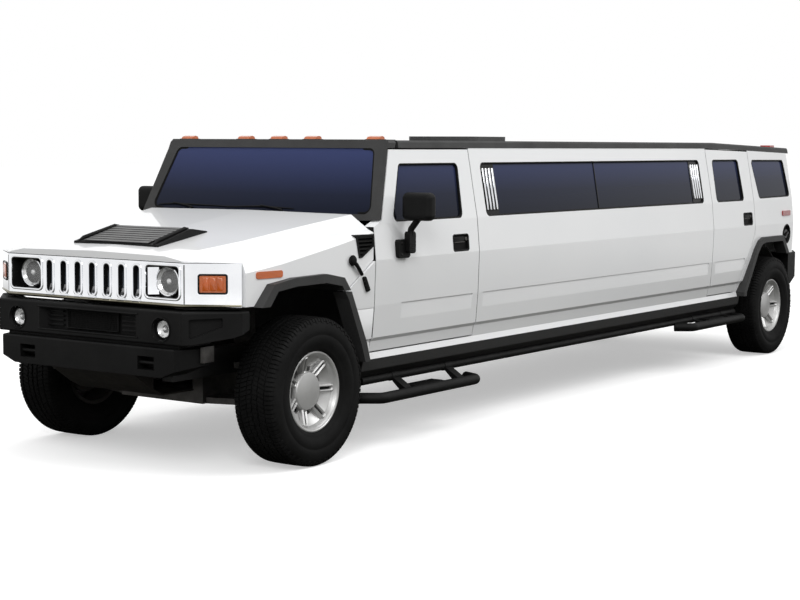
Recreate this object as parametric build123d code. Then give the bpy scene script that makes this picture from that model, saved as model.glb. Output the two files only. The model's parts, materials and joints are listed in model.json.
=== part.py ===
"""Stretch limousine: a long off-road style luxury car on a lengthened ladder frame.

Millimetres. +Z is up, -Y is the front of the car and +X is its left side. The origin is on the
ground, in the middle of the car's length and width. Each node is written to parts/NODE.step.
"""
from build123d import *
import os

# Overall size and axles
WHEELBASE = 6674
FRONT_OVERHANG = 851
REAR_OVERHANG = 852
LENGTH = FRONT_OVERHANG + WHEELBASE + REAR_OVERHANG
FRONT_AXLE_Y = FRONT_OVERHANG - LENGTH / 2
REAR_AXLE_Y = FRONT_AXLE_Y + WHEELBASE
TRACK = 1763
WHEEL_X = TRACK / 2

# Wheels
TYRE_RADIUS = 436
TYRE_WIDTH = 300
TREAD_WIDTH = 272
RIM_RADIUS = 236
RIM_BORE_RADIUS = 55
HUB_FACE = 50
HUB_END_PLAY = 5
CAP_RADIUS = 110
CAP_FACE = 68
SPOKES = 7
RIB_WIDTH = 36
KINGPIN_X = 800
RUNNING_CLEARANCE = 0.5
LOWER_ARM_Z = 330
UPPER_ARM_Z = 545
ARM_THICKNESS = 36
JOINT_CLEARANCE = 6
DAMPER_X = 620
AXLE_TUBE_RADIUS = 48

# Body side: half width at each height, from the sill up to the roof rail
BODY_SECTION = [  # height, half width
    (600, 950), (672, 962), (694, 980), (890, 996), (1166, 1005), (1385, 985), (1840, 903)]
SILL_Z = BODY_SECTION[0][0]
ROOF_BASE_Z = BODY_SECTION[-1][0]
WALL = 75
REAR_WALL = 75
CORNER_RADIUS = 110
PANEL_GAP = 9
BELT_Z = 1390
WINDOW_TOP_Z = 1746
GLASS = 6
GLASS_INSET = 16
WINDOW_RADIUS = 38
CREASE_Z = 892
CREASE_DEPTH = 7
CREASE_FADE = 100

# Roof: heights of its base, edge and crown; it falls towards the rear from the bend on
ROOF_FRONT = 960
ROOF_HALF_WIDTH = 876
ROOF_EDGE_Z = 1876
ROOF_CROWN_Z = 1890
ROOF_THICKNESS = 36
ROOF_BEND = -1100
ROOF_FALL = 45
ROOF_LAMPS_X = (-770, -276, 0, 276, 770)
REAR_LAMPS_X = (-750, -160, 0, 160, 750)

# Frame and floor
RAIL_X = 440
RAIL_WIDTH = 80
RAIL_Z = (520, 680)
FLOOR_Z = (690, 730)
RECEIVER_Z = 566
RECEIVER_BORE = 51
RECEIVER_WALL = 8
RECEIVER_PIN_RADIUS = 8
RECEIVER_PIN_SETBACK = 60

# Stations behind the front axle
FRONT_DOOR_FRONT = 590
FRONT_DOOR_REAR = 1748
LONG_WINDOW_FRONT = 1873
# Stations from the rear axle, minus is ahead of it
LONG_WINDOW_REAR = -1414
REAR_DOOR_FRONT = -1254
REAR_DOOR_REAR = -404
BODY_REAR = 560
BUMPER_WING = 450
BUMPER_TOP_Z = 888
TAILGATE_HALF_WIDTH = 730
TAILGATE_BOTTOM_Z = 905
TAILGATE_TOP_Z = 1762

# Wheel arches: outer edge of the flare, from the axle and above the ground
FLARE_X = 1031
FLARE_WIDTH = 52
LINER = 8
LINER_X = 575
FRONT_ARCH = [(-511, 964), (-406, 1086), (-220, 1111), (76, 1116), (240, 1085), (309, 998),
              (460, 685), (507, 546)]
REAR_ARCH = [(-660, 600), (-410, 960), (-330, 1035), (-250, 1060), (190, 1060), (262, 975),
             (330, 893)]

# Front clip and bumper
CLIP_BOTTOM_Z = 968
FACE = -786
FACE_HALF_WIDTH = 690
CAP_CORNER = (955, -600)
NOSE_TOP_Z = 1214
HOOD_SKIN = 28
SLOTS = 7
SLOT_PITCH = 115
SLOT_WIDTH = 52
SLOT_Z = (1000, 1183)
HEADLAMP_X = 535
HEADLAMP_Z = 1100
HEADLAMP_RADIUS = 83
BEZEL_SIZE = (252, 180)
SIGNAL_X = 825
SIGNAL_Z = 1096
SIGNAL_SIZE = (145, 92)
SIGNAL_DEPTH = 18
MARKER_Y = (-492, -286)
MARKER_Z = (1118, 1158)
MARKER_PROUD = 6
VENT_FRONT = -600
VENT_PEAK = -300
VENT_REAR = -140
VENT_TOP_Z = 1366
VENT_SLATS = 8
LOUVRE_Y = (392, 572)
LOUVRE_Z = (1188, 1326)
LOUVRE_SLATS = 6
BUMPER_CORNER = (725, -835)
BUMPER_TIP = (960, -600)
BUMPER_POCKET = [(753, 795), (883, 862), (883, 912), (753, 905)]
FOG_X = 570
FOG_Z = 842
FOG_RADIUS = 52
TOW_HOOK_X = 470

# Side and rear details
CLADDING_Z = (495, 565)
HANDLE_Z = 1231
HANDLE_SIZE = (190, 112)
HANDLE_DEPTH = 22
FRONT_HANDLE = 1537
REAR_HANDLE = -547
MIRROR_Y = 870
FILLER = (317, 1068)
FILLER_RADIUS = 89
FILLER_DEPTH = 30
REAR_MARKER_Y = (215, 391)
REAR_MARKER_Z = (1234, 1280)
KNEE_X = 640
PLATE_PITCH = (178, 120)
PLATE_Z = 760
PLATE_HOLE_RADIUS = 3.5
RAIL_TUBE = (905, 425, 27)
STEP_X = 1045
STEP_RADIUS = 34


def front(distance):
    """Y of a point this far behind the front axle."""
    return FRONT_AXLE_Y + distance


def rear(distance):
    """Y of a point this far behind the rear axle."""
    return REAR_AXLE_Y + distance


def roof_base_at(distance):
    """Height of the body's top edge, this far behind the rear axle: level, then falling to the rear."""
    if distance <= ROOF_BEND:
        return ROOF_BASE_Z
    return ROOF_BASE_Z - ROOF_FALL * (distance - ROOF_BEND) / (BODY_REAR - ROOF_BEND)


def outline_face(points, radius):
    face = make_face(Polyline(*points, close=True))
    return fillet(face.vertices(), radius) if radius else face


def along_x(outline, x0, x1, radius=0):
    """A prism along X of an outline in (y, z)."""
    face = outline_face([(x0, y, z) for y, z in outline], radius)
    return extrude(face, amount=x1 - x0, dir=(1, 0, 0))


def along_y(outline, y0, y1, radius=0):
    """A prism along Y of an outline in (x, z)."""
    face = outline_face([(x, y0, z) for x, z in outline], radius)
    return extrude(face, amount=y1 - y0, dir=(0, 1, 0))


def along_z(outline, z0, z1, radius=0):
    """A prism along Z of an outline in (x, y)."""
    face = outline_face([(x, y, z0) for x, y in outline], radius)
    return extrude(face, amount=z1 - z0, dir=(0, 0, 1))


def block(x0, x1, y0, y1, z0, z1):
    return Pos((x0 + x1) / 2, (y0 + y1) / 2, (z0 + z1) / 2) * Box(x1 - x0, y1 - y0, z1 - z0)


def rod_x(x0, x1, y, z, radius):
    return Pos((x0 + x1) / 2, y, z) * Rot(0, 90, 0) * Cylinder(radius, x1 - x0)


def rod_y(x, y0, y1, z, radius):
    return Pos(x, (y0 + y1) / 2, z) * Rot(90, 0, 0) * Cylinder(radius, y1 - y0)


def rod_z(x, y, z0, z1, radius):
    return Pos(x, y, (z0 + z1) / 2) * Cylinder(radius, z1 - z0)


def joined(pieces):
    total = Part()
    for piece in pieces:
        total += piece
    return total


def separate(pieces):
    """Pieces that touch each other but stay solids of their own, as welded or bolted parts are."""
    return Compound([solid for piece in pieces for solid in piece.solids()])


def bent_tube(points, bend, radius):
    """A round tube along straight runs joined by arcs."""
    path = FilletPolyline(*points, radius=bend)
    return sweep(Plane(path @ 0, z_dir=path % 0) * Circle(radius), path=path)


def slot_outline(x, z0, z1, width):
    return [(x - width / 2, z0), (x + width / 2, z0), (x + width / 2, z1), (x - width / 2, z1)]


def both_sides(shape):
    return joined([shape, shape.mirror(Plane.YZ)])


def section_outline(inset=0, low=SILL_Z, high=ROOF_BASE_Z):
    """The closed outline of the body's full width, moved in by the inset."""
    side = [(half_width - inset, z) for z, half_width in BODY_SECTION if low < z < high]
    side = [(half_width_at(low) - inset, low)] + side + [(half_width_at(high) - inset, high)]
    return side + [(-x, z) for x, z in reversed(side)]


def half_width_at(height):
    for (z0, x0), (z1, x1) in zip(BODY_SECTION, BODY_SECTION[1:]):
        if z0 <= height <= z1:
            return x0 + (x1 - x0) * (height - z0) / (z1 - z0)
    raise ValueError(height)


def plan_face(half_width, z, y0, y1, radius):
    """A face at one height, with its two rear corners rounded."""
    lean = radius * (1 - 0.5 ** 0.5)
    sides = Polyline((half_width, y1 - radius, z), (half_width, y0, z), (-half_width, y0, z),
                     (-half_width, y1 - radius, z))
    left = ThreePointArc((half_width, y1 - radius, z), (half_width - lean, y1 - lean, z),
                         (half_width - radius, y1, z))
    right = ThreePointArc((-half_width, y1 - radius, z), (-half_width + lean, y1 - lean, z),
                          (-half_width + radius, y1, z))
    return make_face([*sides.edges(), *left.edges(), *right.edges(),
                      *Line((half_width - radius, y1, z), (-half_width + radius, y1, z)).edges()])


def body_solid(inset, rear_inset):
    """The body from the cowl to the rear corners as one solid, moved in by the insets."""
    y0, y1 = front(FRONT_DOOR_FRONT - 30), rear(BODY_REAR) - rear_inset
    radius = CORNER_RADIUS - inset
    return loft([plan_face(half_width - inset, z, y0, y1, radius) for z, half_width in BODY_SECTION],
                ruled=True)


def body_shell():
    """The body's wall, open at its front, top and bottom, its top edge falling towards the rear."""
    end = BODY_REAR + 50
    above = along_x([(rear(ROOF_BEND), ROOF_BASE_Z), (rear(end), roof_base_at(end)),
                     (rear(end), ROOF_BASE_Z + 50),
                     (rear(ROOF_BEND), ROOF_BASE_Z + 50)], -1200, 1200)
    return body_solid(0, 0) - body_solid(WALL, REAR_WALL) - above


def glass_band(low, high, y0, y1):
    """Side glass between two heights, on both sides, parallel to the body's surface."""
    x_low, x_high = half_width_at(low) - GLASS_INSET, half_width_at(high) - GLASS_INSET
    pane = [(x_low, low), (x_high, high), (x_high - GLASS, high), (x_low - GLASS, low)]
    return both_sides(along_y(pane, y0, y1))


# Outlines in (y, z) of doors and windows
ROOF_PANEL = (300, front(2776), front(3258), 1922)
A_PILLAR_FOOT = (front(678), 1402)
A_PILLAR_TOP = (front(853), ROOF_BASE_Z - PANEL_GAP)
FRONT_DOOR = [
    (front(FRONT_DOOR_FRONT), SILL_Z + PANEL_GAP), (front(FRONT_DOOR_FRONT), 1366), A_PILLAR_FOOT,
    A_PILLAR_TOP, (front(FRONT_DOOR_REAR), ROOF_BASE_Z - PANEL_GAP),
    (front(FRONT_DOOR_REAR), SILL_Z + PANEL_GAP)]
REAR_DOOR = [
    (rear(REAR_DOOR_FRONT), SILL_Z + PANEL_GAP), (rear(REAR_DOOR_FRONT), ROOF_BASE_Z - PANEL_GAP),
    (rear(REAR_DOOR_REAR), roof_base_at(REAR_DOOR_REAR) - PANEL_GAP), (rear(REAR_DOOR_REAR), 1090),
    (rear(-500), 950), (rear(-710), SILL_Z + PANEL_GAP)]
FRONT_DOOR_WINDOW = [
    (front(787), BELT_Z), (front(934), WINDOW_TOP_Z), (front(1605), WINDOW_TOP_Z), (front(1580), BELT_Z)]
REAR_DOOR_WINDOW = [
    (rear(-1165), BELT_Z), (rear(-1155), WINDOW_TOP_Z), (rear(-625), WINDOW_TOP_Z), (rear(-600), BELT_Z)]
LONG_WINDOW = [
    (front(LONG_WINDOW_FRONT), BELT_Z), (front(LONG_WINDOW_FRONT), WINDOW_TOP_Z),
    (rear(LONG_WINDOW_REAR), WINDOW_TOP_Z), (rear(LONG_WINDOW_REAR), BELT_Z)]
QUARTER_WINDOW = [
    (rear(-274), BELT_Z + 10), (rear(-350), WINDOW_TOP_Z - 4), (rear(375), WINDOW_TOP_Z - 8),
    (rear(425), BELT_Z + 15)]


def opening(outline):
    return along_x(outline, -1200, 1200, WINDOW_RADIUS)


def grown(outline, distance):
    """The outline moved outward by a distance (inward if negative), as a prism across the car."""
    face = make_face(Polyline(*[(0, y, z) for y, z in outline], close=True))
    moved = offset(face, amount=distance, kind=Kind.INTERSECTION)
    return extrude(Pos(-1200, 0, 0) * moved, amount=2400, dir=(1, 0, 0))


def crease(y0, y1):
    """The pressed line along the doors: a ledge that fades out downward."""
    x_ledge = half_width_at(CREASE_Z)
    x_fade = half_width_at(CREASE_Z - CREASE_FADE)
    wedge = [(x_ledge + 20, CREASE_Z), (x_ledge - CREASE_DEPTH, CREASE_Z),
             (x_fade, CREASE_Z - CREASE_FADE), (x_fade + 20, CREASE_Z - CREASE_FADE)]
    return both_sides(along_y(wedge, y0, y1))


def half(shape, side):
    """The part of a shape on one side: side is 1 for the left and -1 for the right."""
    return shape & Pos(side * 1500, 0, 1000) * Box(3000, 12000, 4000)


def doors(shell):
    parts = {}
    table = [  # name, outline, window, crease from, crease to, middle of the handle
        ("front", FRONT_DOOR, FRONT_DOOR_WINDOW, front(870), front(FRONT_DOOR_REAR) - 60,
         front(FRONT_HANDLE)),
        ("rear", REAR_DOOR, REAR_DOOR_WINDOW, rear(REAR_DOOR_FRONT) + 60, rear(-590), rear(REAR_HANDLE))]
    for name, outline, window, crease_from, crease_to, handle_y in table:
        pair = (shell & along_x(outline, -1200, 1200)) - opening(window) - crease(crease_from, crease_to)
        pair -= both_sides(handle_recess(handle_y))
        panes = glass_band(BELT_Z - 5, WINDOW_TOP_Z + 5, outline[0][0], outline[-2][0] + 600)
        panes = panes & opening(window)
        for side_name, side in (("left", 1), ("right", -1)):
            parts[f"{name}_{side_name}_door"] = half(pair, side)
            parts[f"{name}_{side_name}_door_glass"] = half(panes, side)
    return parts


def handle_recess(y):
    """The pocket behind a door handle."""
    width, height = HANDLE_SIZE
    outline = [(y - width / 2, HANDLE_Z - height / 2), (y + width / 2, HANDLE_Z - height / 2),
               (y + width / 2, HANDLE_Z + height / 2), (y - width / 2, HANDLE_Z + height / 2)]
    return along_x(outline, half_width_at(HANDLE_Z) - HANDLE_DEPTH, 1100, 18)


def side_panels(shell):
    y0, y1 = front(FRONT_DOOR_REAR) + PANEL_GAP, rear(REAR_DOOR_FRONT) - PANEL_GAP
    region = block(-1200, 1200, y0, y1, SILL_Z, ROOF_BASE_Z)
    return (shell & region) - opening(LONG_WINDOW) - crease(y0 + 60, y1 - 60)


def quarter_panels(shell):
    region = block(-1200, 1200, rear(-800), rear(BODY_REAR) + 10, SILL_Z, ROOF_BASE_Z)
    over_bumper = block(-1200, 1200, rear(0), rear(BODY_REAR) + 20, SILL_Z - 10, BUMPER_TOP_Z + 5)
    tailgate_space = block(-TAILGATE_HALF_WIDTH - PANEL_GAP, TAILGATE_HALF_WIDTH + PANEL_GAP,
                           rear(0), rear(BODY_REAR) + 20, SILL_Z - 10, ROOF_BASE_Z + 10)
    panels = (shell & region) - over_bumper - grown(REAR_DOOR, PANEL_GAP)
    panels = panels - tailgate_space - opening(QUARTER_WINDOW)
    panels -= block(-1200, 1200, rear(-800), rear(REAR_DOOR_REAR) + 1, 1100, ROOF_BASE_Z + 10)
    filler_y, filler_z = rear(FILLER[0]), FILLER[1]
    panels -= rod_x(half_width_at(filler_z) - FILLER_DEPTH, 1100, filler_y, filler_z, FILLER_RADIUS)
    return panels - arch_prism(REAR_ARCH, rear(0), 0)


def roof_section(half_width, base, top, crown):
    """A cross-section of the roof at y = 0, crowned between its two sides."""
    sides = Polyline((half_width, 0, top), (half_width, 0, base), (-half_width, 0, base),
                     (-half_width, 0, top))
    return make_face(sides + ThreePointArc((-half_width, 0, top), (0, 0, crown), (half_width, 0, top)))


def along_roof(section, y0, y1):
    """Carries a cross-section along the roof, level at first and then falling to the rear."""
    bend = rear(ROOF_BEND)
    fall = Vector(0, y1 - bend, roof_base_at(y1 - REAR_AXLE_Y) - ROOF_BASE_Z)
    level = extrude(Pos(0, y0, 0) * section, amount=bend - y0, dir=(0, 1, 0))
    return level + extrude(Pos(0, bend, 0) * section, amount=fall.length, dir=fall.normalized())


def roof_outer():
    return along_roof(roof_section(ROOF_HALF_WIDTH, ROOF_BASE_Z, ROOF_EDGE_Z, ROOF_CROWN_Z),
                      front(ROOF_FRONT), rear(BODY_REAR) - 20)


def arch_outline(arch, axle_y, inset):
    """The arch's outline in (y, z), moved in towards the wheel by the inset."""
    middle_z = 560
    points = []
    for distance, z in arch:
        reach = (distance ** 2 + (z - middle_z) ** 2) ** 0.5
        share = 1 - inset / reach
        points.append((axle_y + distance * share, middle_z + (z - middle_z) * share))
    return points


def arch_prism(arch, axle_y, inset, x0=-1300, x1=1300):
    points = arch_outline(arch, axle_y, inset)
    foot = [(points[-1][0], 300), (points[0][0], 300)]
    return along_x(points + foot, x0, x1)


def flare(arch, axle_y, x0=930, x1=FLARE_X):
    """The black moulding round a wheel arch, on both sides."""
    outer = arch_prism(arch, axle_y, 0, x0, x1)
    inner = arch_prism(arch, axle_y, FLARE_WIDTH, x0 - 5, x1 + 5)
    return outer - inner


def roof():
    """The painted roof skin, with the beam over the tailgate."""
    inner = roof_section(ROOF_HALF_WIDTH - 60, ROOF_BASE_Z - 5, ROOF_EDGE_Z - ROOF_THICKNESS,
                         ROOF_CROWN_Z - ROOF_THICKNESS)
    skin = roof_outer() - along_roof(inner, front(ROOF_FRONT) + 60, rear(BODY_REAR) - 120)
    beam = block(-TAILGATE_HALF_WIDTH, TAILGATE_HALF_WIDTH, rear(BODY_REAR) - REAR_WALL, rear(BODY_REAR) - 20,
                 TAILGATE_TOP_Z + PANEL_GAP, roof_base_at(BODY_REAR) + 8)
    return skin + beam


def roof_trim():
    """Black rails along both edges of the roof, and the low raised panel on it."""
    x0 = ROOF_HALF_WIDTH + 1
    rail = [(x0, ROOF_BASE_Z), (905, ROOF_BASE_Z), (898, 1876), (888, 1888), (x0, 1888)]
    face = outline_face([(x, 0, z) for x, z in rail], 0)
    rails = both_sides(along_roof(face, front(ROOF_FRONT), rear(BODY_REAR) - 20))
    width, y0, y1, top = ROOF_PANEL
    panel = along_z([(-width, y0), (width, y0), (width, y1), (-width, y1)], ROOF_EDGE_Z - 10, top, 60)
    return separate([rails, panel - roof_outer()])


def windshield_plane(z):
    """Distance behind the front axle of the windshield's outer face on the centre line."""
    foot, foot_z, head, head_z = 632, 1430, 815, 1850
    return foot + (head - foot) * (z - foot_z) / (head_z - foot_z)


def raked_slab(z0, z1, depth, shift=0):
    """A crowned slab that leans back with the windshield: its front face and the given depth."""
    half_width, sagitta = 1000, 40
    y0 = front(windshield_plane(z0)) + shift
    lean = Vector(0, windshield_plane(z1) - windshield_plane(z0), z1 - z0)
    rim = (ThreePointArc((-half_width, y0 + sagitta, z0), (0, y0, z0), (half_width, y0 + sagitta, z0))
           + Polyline((half_width, y0 + sagitta, z0), (half_width, y0 + depth + sagitta, z0))
           + ThreePointArc((half_width, y0 + depth + sagitta, z0), (0, y0 + depth, z0),
                           (-half_width, y0 + depth + sagitta, z0))
           + Polyline((-half_width, y0 + depth + sagitta, z0), (-half_width, y0 + sagitta, z0)))
    return extrude(make_face(rim), amount=lean.length, dir=lean.normalized())


WINDSHIELD = [(905, 1436), (812, 1838)]  # half width, height of its lower and upper corners


def windshield_outline():
    (low_x, low_z), (high_x, high_z) = WINDSHIELD
    return [(low_x, low_z), (high_x, high_z), (-high_x, high_z), (-low_x, low_z)]


def windshield_frame():
    """A pillars, cowl and header, round the windshield, and the roof's front edge."""
    slab = raked_slab(1380, 1892, 75)
    hull = along_y(section_outline(0), front(300), front(1200)) + along_y(
        [(905, ROOF_BASE_Z), (903, 1872), (885, 1892), (-885, 1892), (-903, 1872), (-905, ROOF_BASE_Z)],
        front(300), front(960))
    frame = slab & hull
    frame += block(-880, 880, front(windshield_plane(1870)) + 40, front(960), 1862, 1892)
    frame -= along_y(windshield_outline(), front(500), front(960), 45)
    return frame - grown(FRONT_DOOR, PANEL_GAP)


def fixed_glass():
    screen = raked_slab(1400, 1850, GLASS, 8) & along_y(windshield_outline(), front(400), front(1200), 45)
    long_panes = glass_band(BELT_Z - 5, WINDOW_TOP_Z + 5, front(1800), rear(-1350)) & opening(LONG_WINDOW)
    quarters = glass_band(BELT_Z, WINDOW_TOP_Z + 5, rear(-400), rear(438)) & opening(QUARTER_WINDOW)
    return joined([screen, long_panes, quarters])


def tailgate(shell):
    region = block(-TAILGATE_HALF_WIDTH, TAILGATE_HALF_WIDTH, rear(BODY_REAR) - REAR_WALL - 5,
                   rear(BODY_REAR) + 5, TAILGATE_BOTTOM_Z, TAILGATE_TOP_Z)
    window = [(-600, 1400), (-572, 1706), (572, 1706), (600, 1400)]
    cut = along_y(window, rear(BODY_REAR) - 200, rear(BODY_REAR) + 50, 50)
    pane = block(-620, 620, rear(BODY_REAR) - 22, rear(BODY_REAR) - 16, 1380, 1740) & cut
    return {"tailgate": (shell & region) - cut, "tailgate_glass": pane}


def clip_sections():
    """Outer half sections of the hood and fenders, front to rear."""
    return [  # behind the front axle, side x, side top z, crest x, crest z, shoulder x, shoulder z, middle z
        (-786, 690, 1170, 680, 1222, 560, 1243, 1252),
        (-600, 955, 1150, 930, 1212, 640, 1270, 1280),
        (-285, 985, 1190, 938, 1254, 700, 1312, 1326),
        (192, 996, 1268, 944, 1318, 760, 1382, 1392),
        (585, 990, 1335, 950, 1352, 822, 1438, 1446)]


def fender_x(distance):
    """Half width of the fenders' upright sides, behind the front axle."""
    table = [(row[0], row[1]) for row in clip_sections()]
    for (y0, x0), (y1, x1) in zip(table, table[1:]):
        if y0 <= distance <= y1:
            return x0 + (x1 - x0) * (distance - y0) / (y1 - y0)
    raise ValueError(distance)


def clip_solid(inset):
    """The hood and fenders as one lofted solid."""
    wires = []
    for distance, side_x, side_z, crest_x, crest_z, shoulder_x, shoulder_z, middle_z in clip_sections():
        y = front(distance) + (inset if distance < -700 else 0)
        half_points = [(side_x - inset, CLIP_BOTTOM_Z - 5), (side_x - inset, side_z - inset / 2),
                       (crest_x - inset, crest_z - inset), (shoulder_x, shoulder_z - inset)]
        points = half_points + [(0, middle_z - inset)] + [(-x, z) for x, z in reversed(half_points)]
        wires.append(make_face(Polyline(*[(x, y, z) for x, z in points], close=True)))
    return loft(wires, ruled=True)


def hood_shell():
    """Hood and both fenders in one shell, open below, at the wheels and at the nose."""
    shell = clip_solid(0) - clip_solid(HOOD_SKIN)
    shell -= block(-1200, 1200, front(-700), front(700), CLIP_BOTTOM_Z - 200, CLIP_BOTTOM_Z)
    shell -= block(-1200, 1200, front(-900), front(CAP_CORNER[1]) + 30, 900, NOSE_TOP_Z)
    shell -= arch_prism(FRONT_ARCH, front(0), 0)
    shell -= lower_fender_cut(PANEL_GAP) + both_sides(along_x(louvre_outline(), 900, 1200))
    return shell - block(-1200, 1200, front(FRONT_DOOR_FRONT) - PANEL_GAP, front(700), 900, 1500)


def lower_fender_cut(gap):
    """The corner behind the front wheel that belongs to the body and not to the tilting clip."""
    end = front(FRONT_DOOR_FRONT) + 20
    return along_x([(front(200), 880), (front(309), 998 + gap), (end, 1180 + gap), (end, 880)], -1200, 1200)


def louvre_outline():
    y0, y1 = front(LOUVRE_Y[0]), front(LOUVRE_Y[1])
    low, high = LOUVRE_Z
    return [(y0, high), (y1, high), (y1, high - 75), (y0 + 62, low), (y0 + 36, low)]


def fender_louvres():
    """Slatted side vents set into the fenders behind the front wheels."""
    x0, x1 = 964, 999
    frame = along_x(louvre_outline(), x0, x1) - grown(louvre_outline(), -12)
    pitch = (LOUVRE_Z[1] - LOUVRE_Z[0]) / LOUVRE_SLATS
    slats = []
    for n in range(LOUVRE_SLATS):
        z = LOUVRE_Z[0] + pitch * (n + 0.5)
        slats.append(along_y([(x0 + 4, z + 2), (x0 + 4, z + 10), (x1 - 3, z - 2), (x1 - 3, z - 10)],
                             front(300), front(600)))
    return both_sides(frame + (joined(slats) & grown(louvre_outline(), -11)))


def turn_signals():
    """Amber lamps in the end caps, and the side marker on each fender."""
    signal = cap_prism(SIGNAL_X, SIGNAL_Z, *SIGNAL_SIZE, -SIGNAL_DEPTH, 4, 8)
    corners = [(fender_x(distance), front(distance), z) for distance, z in (
        (MARKER_Y[0], MARKER_Z[0]), (MARKER_Y[1], MARKER_Z[0]), (MARKER_Y[1], MARKER_Z[1]),
        (MARKER_Y[0], MARKER_Z[1]))]
    marker = extrude(outline_face(corners, 14), amount=MARKER_PROUD, dir=(1, 0, 0))
    return separate([both_sides(signal), marker, marker.mirror(Plane.YZ)])


def grille():
    """The bright nose: seven slots, two lamp recesses, and angled end caps with signal recesses."""
    depth = 70
    y0 = front(FACE)
    corner_x, corner_y = CAP_CORNER
    plan = [(-corner_x, front(corner_y)), (-FACE_HALF_WIDTH, y0), (FACE_HALF_WIDTH, y0),
            (corner_x, front(corner_y)),
            (corner_x - 20, front(corner_y) + 30), (FACE_HALF_WIDTH - 25, y0 + depth),
            (-FACE_HALF_WIDTH + 25, y0 + depth), (-corner_x + 20, front(corner_y) + 30)]
    nose = along_z(plan, CLIP_BOTTOM_Z, NOSE_TOP_Z)
    for n in range(SLOTS):
        x = (n - (SLOTS - 1) / 2) * SLOT_PITCH
        nose -= along_y(slot_outline(x, *SLOT_Z, SLOT_WIDTH), y0 - 5, y0 + depth - 8, SLOT_WIDTH / 2 - 1)
    width, height = BEZEL_SIZE
    for side in (-1, 1):
        x = side * (HEADLAMP_X + 5)
        recess = slot_outline(x, HEADLAMP_Z - height / 2, HEADLAMP_Z + height / 2, width)
        nose -= along_y(recess, y0 - 5, y0 + depth - 8, 24)
    return nose - both_sides(cap_prism(SIGNAL_X, SIGNAL_Z, SIGNAL_SIZE[0] + 8, SIGNAL_SIZE[1] + 8,
                                       -SIGNAL_DEPTH, 20, 10))


def cap_point(x, z, out):
    """A point on the left end cap, and the given distance out from it."""
    corner_x, corner_y = CAP_CORNER
    run_x, run_y = corner_x - FACE_HALF_WIDTH, corner_y - FACE
    length = (run_x ** 2 + run_y ** 2) ** 0.5
    y = front(FACE) + (x - FACE_HALF_WIDTH) * run_y / run_x
    return (x + out * run_y / length, y - out * run_x / length, z)


def cap_prism(x, z, width, height, low, high, radius):
    """A rounded rectangular prism square to the left end cap, between two distances out from it."""
    corner_x, corner_y = CAP_CORNER
    run = (corner_x - FACE_HALF_WIDTH) / ((corner_x - FACE_HALF_WIDTH) ** 2 + (corner_y - FACE) ** 2) ** 0.5
    x0, x1 = x - width / 2 * run, x + width / 2 * run
    corners = [cap_point(x0, z - height / 2, low), cap_point(x1, z - height / 2, low),
               cap_point(x1, z + height / 2, low), cap_point(x0, z + height / 2, low)]
    outward = Vector(*cap_point(x, z, 1)) - Vector(*cap_point(x, z, 0))
    return extrude(outline_face(corners, radius), amount=high - low, dir=outward)


def front_lamps():
    """Round headlamps: a bowl standing on the back of each recess, with a domed lens."""
    back = front(FACE) + 62
    bowl = Pos(HEADLAMP_X, back - 12, HEADLAMP_Z) * Rot(90, 0, 0) * Cylinder(HEADLAMP_RADIUS, 24)
    dome_radius = 240
    rise = dome_radius - (dome_radius ** 2 - HEADLAMP_RADIUS ** 2) ** 0.5
    dome = Pos(HEADLAMP_X, back - 24 - rise + dome_radius, HEADLAMP_Z) * Sphere(dome_radius)
    tube = Pos(HEADLAMP_X, back - 24 - 25, HEADLAMP_Z) * Rot(90, 0, 0) * Cylinder(HEADLAMP_RADIUS, 50)
    return both_sides(bowl + (dome & tube))


def hood_vent():
    """The black louvred panel on the hood, with slats between two side fins."""
    y0, y1, y2 = front(VENT_FRONT), front(VENT_PEAK), front(VENT_REAR)
    rise = [(y0, 1225), (y0, 1288), (y1, VENT_TOP_Z), (y1 + 20, VENT_TOP_Z), (y2, 1348), (y2, 1225)]
    body = along_x(rise, -400, 400) & along_z([(-335, y0), (335, y0), (300, y2), (-300, y2)], 1200, 1400)
    run = (y1 - y0) / VENT_SLATS
    for n in range(VENT_SLATS):
        y = y0 + run * (n + 0.35)
        z = 1288 + (VENT_TOP_Z - 1288) * (n + 0.35) / VENT_SLATS
        groove = [(y, z + 30), (y, z - 10), (y + run * 0.6, z - 6), (y + run * 0.6, z + 30)]
        body -= along_x(groove, -262, 262)
    return body - clip_solid(0)


def front_flares():
    """Black arch mouldings on the tilting clip, with the liners inside the wheel arches."""
    clip_part = block(900, 1100, front(-700), front(0), FRONT_ARCH[0][1], 1200)
    clip_part += block(900, 1100, front(0), front(600), 998 + PANEL_GAP, 1200)
    moulding = flare(FRONT_ARCH, front(0)) & clip_part
    outer = arch_prism(FRONT_ARCH, front(0), FLARE_WIDTH - LINER, LINER_X, 932)
    hollow = arch_prism(FRONT_ARCH, front(0), FLARE_WIDTH, LINER_X + LINER, 940)
    room = block(LINER_X, 932, front(-700), front(0), CLIP_BOTTOM_Z + 12, 1300)
    room += block(LINER_X, 932, front(0), front(600), 998 + PANEL_GAP, 1300)
    return both_sides(moulding + ((outer - hollow) & room))


def bumper_face_point(x, z, out):
    """A point on the bumper's left angled end, and the given distance out from it."""
    (x0, y0), (x1, y1) = BUMPER_CORNER, BUMPER_TIP
    run_x, run_y = x1 - x0, y1 - y0
    length = (run_x ** 2 + run_y ** 2) ** 0.5
    y = front(y0) + (x - x0) * run_y / run_x
    return (x + out * run_y / length, y - out * run_x / length, z)


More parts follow.
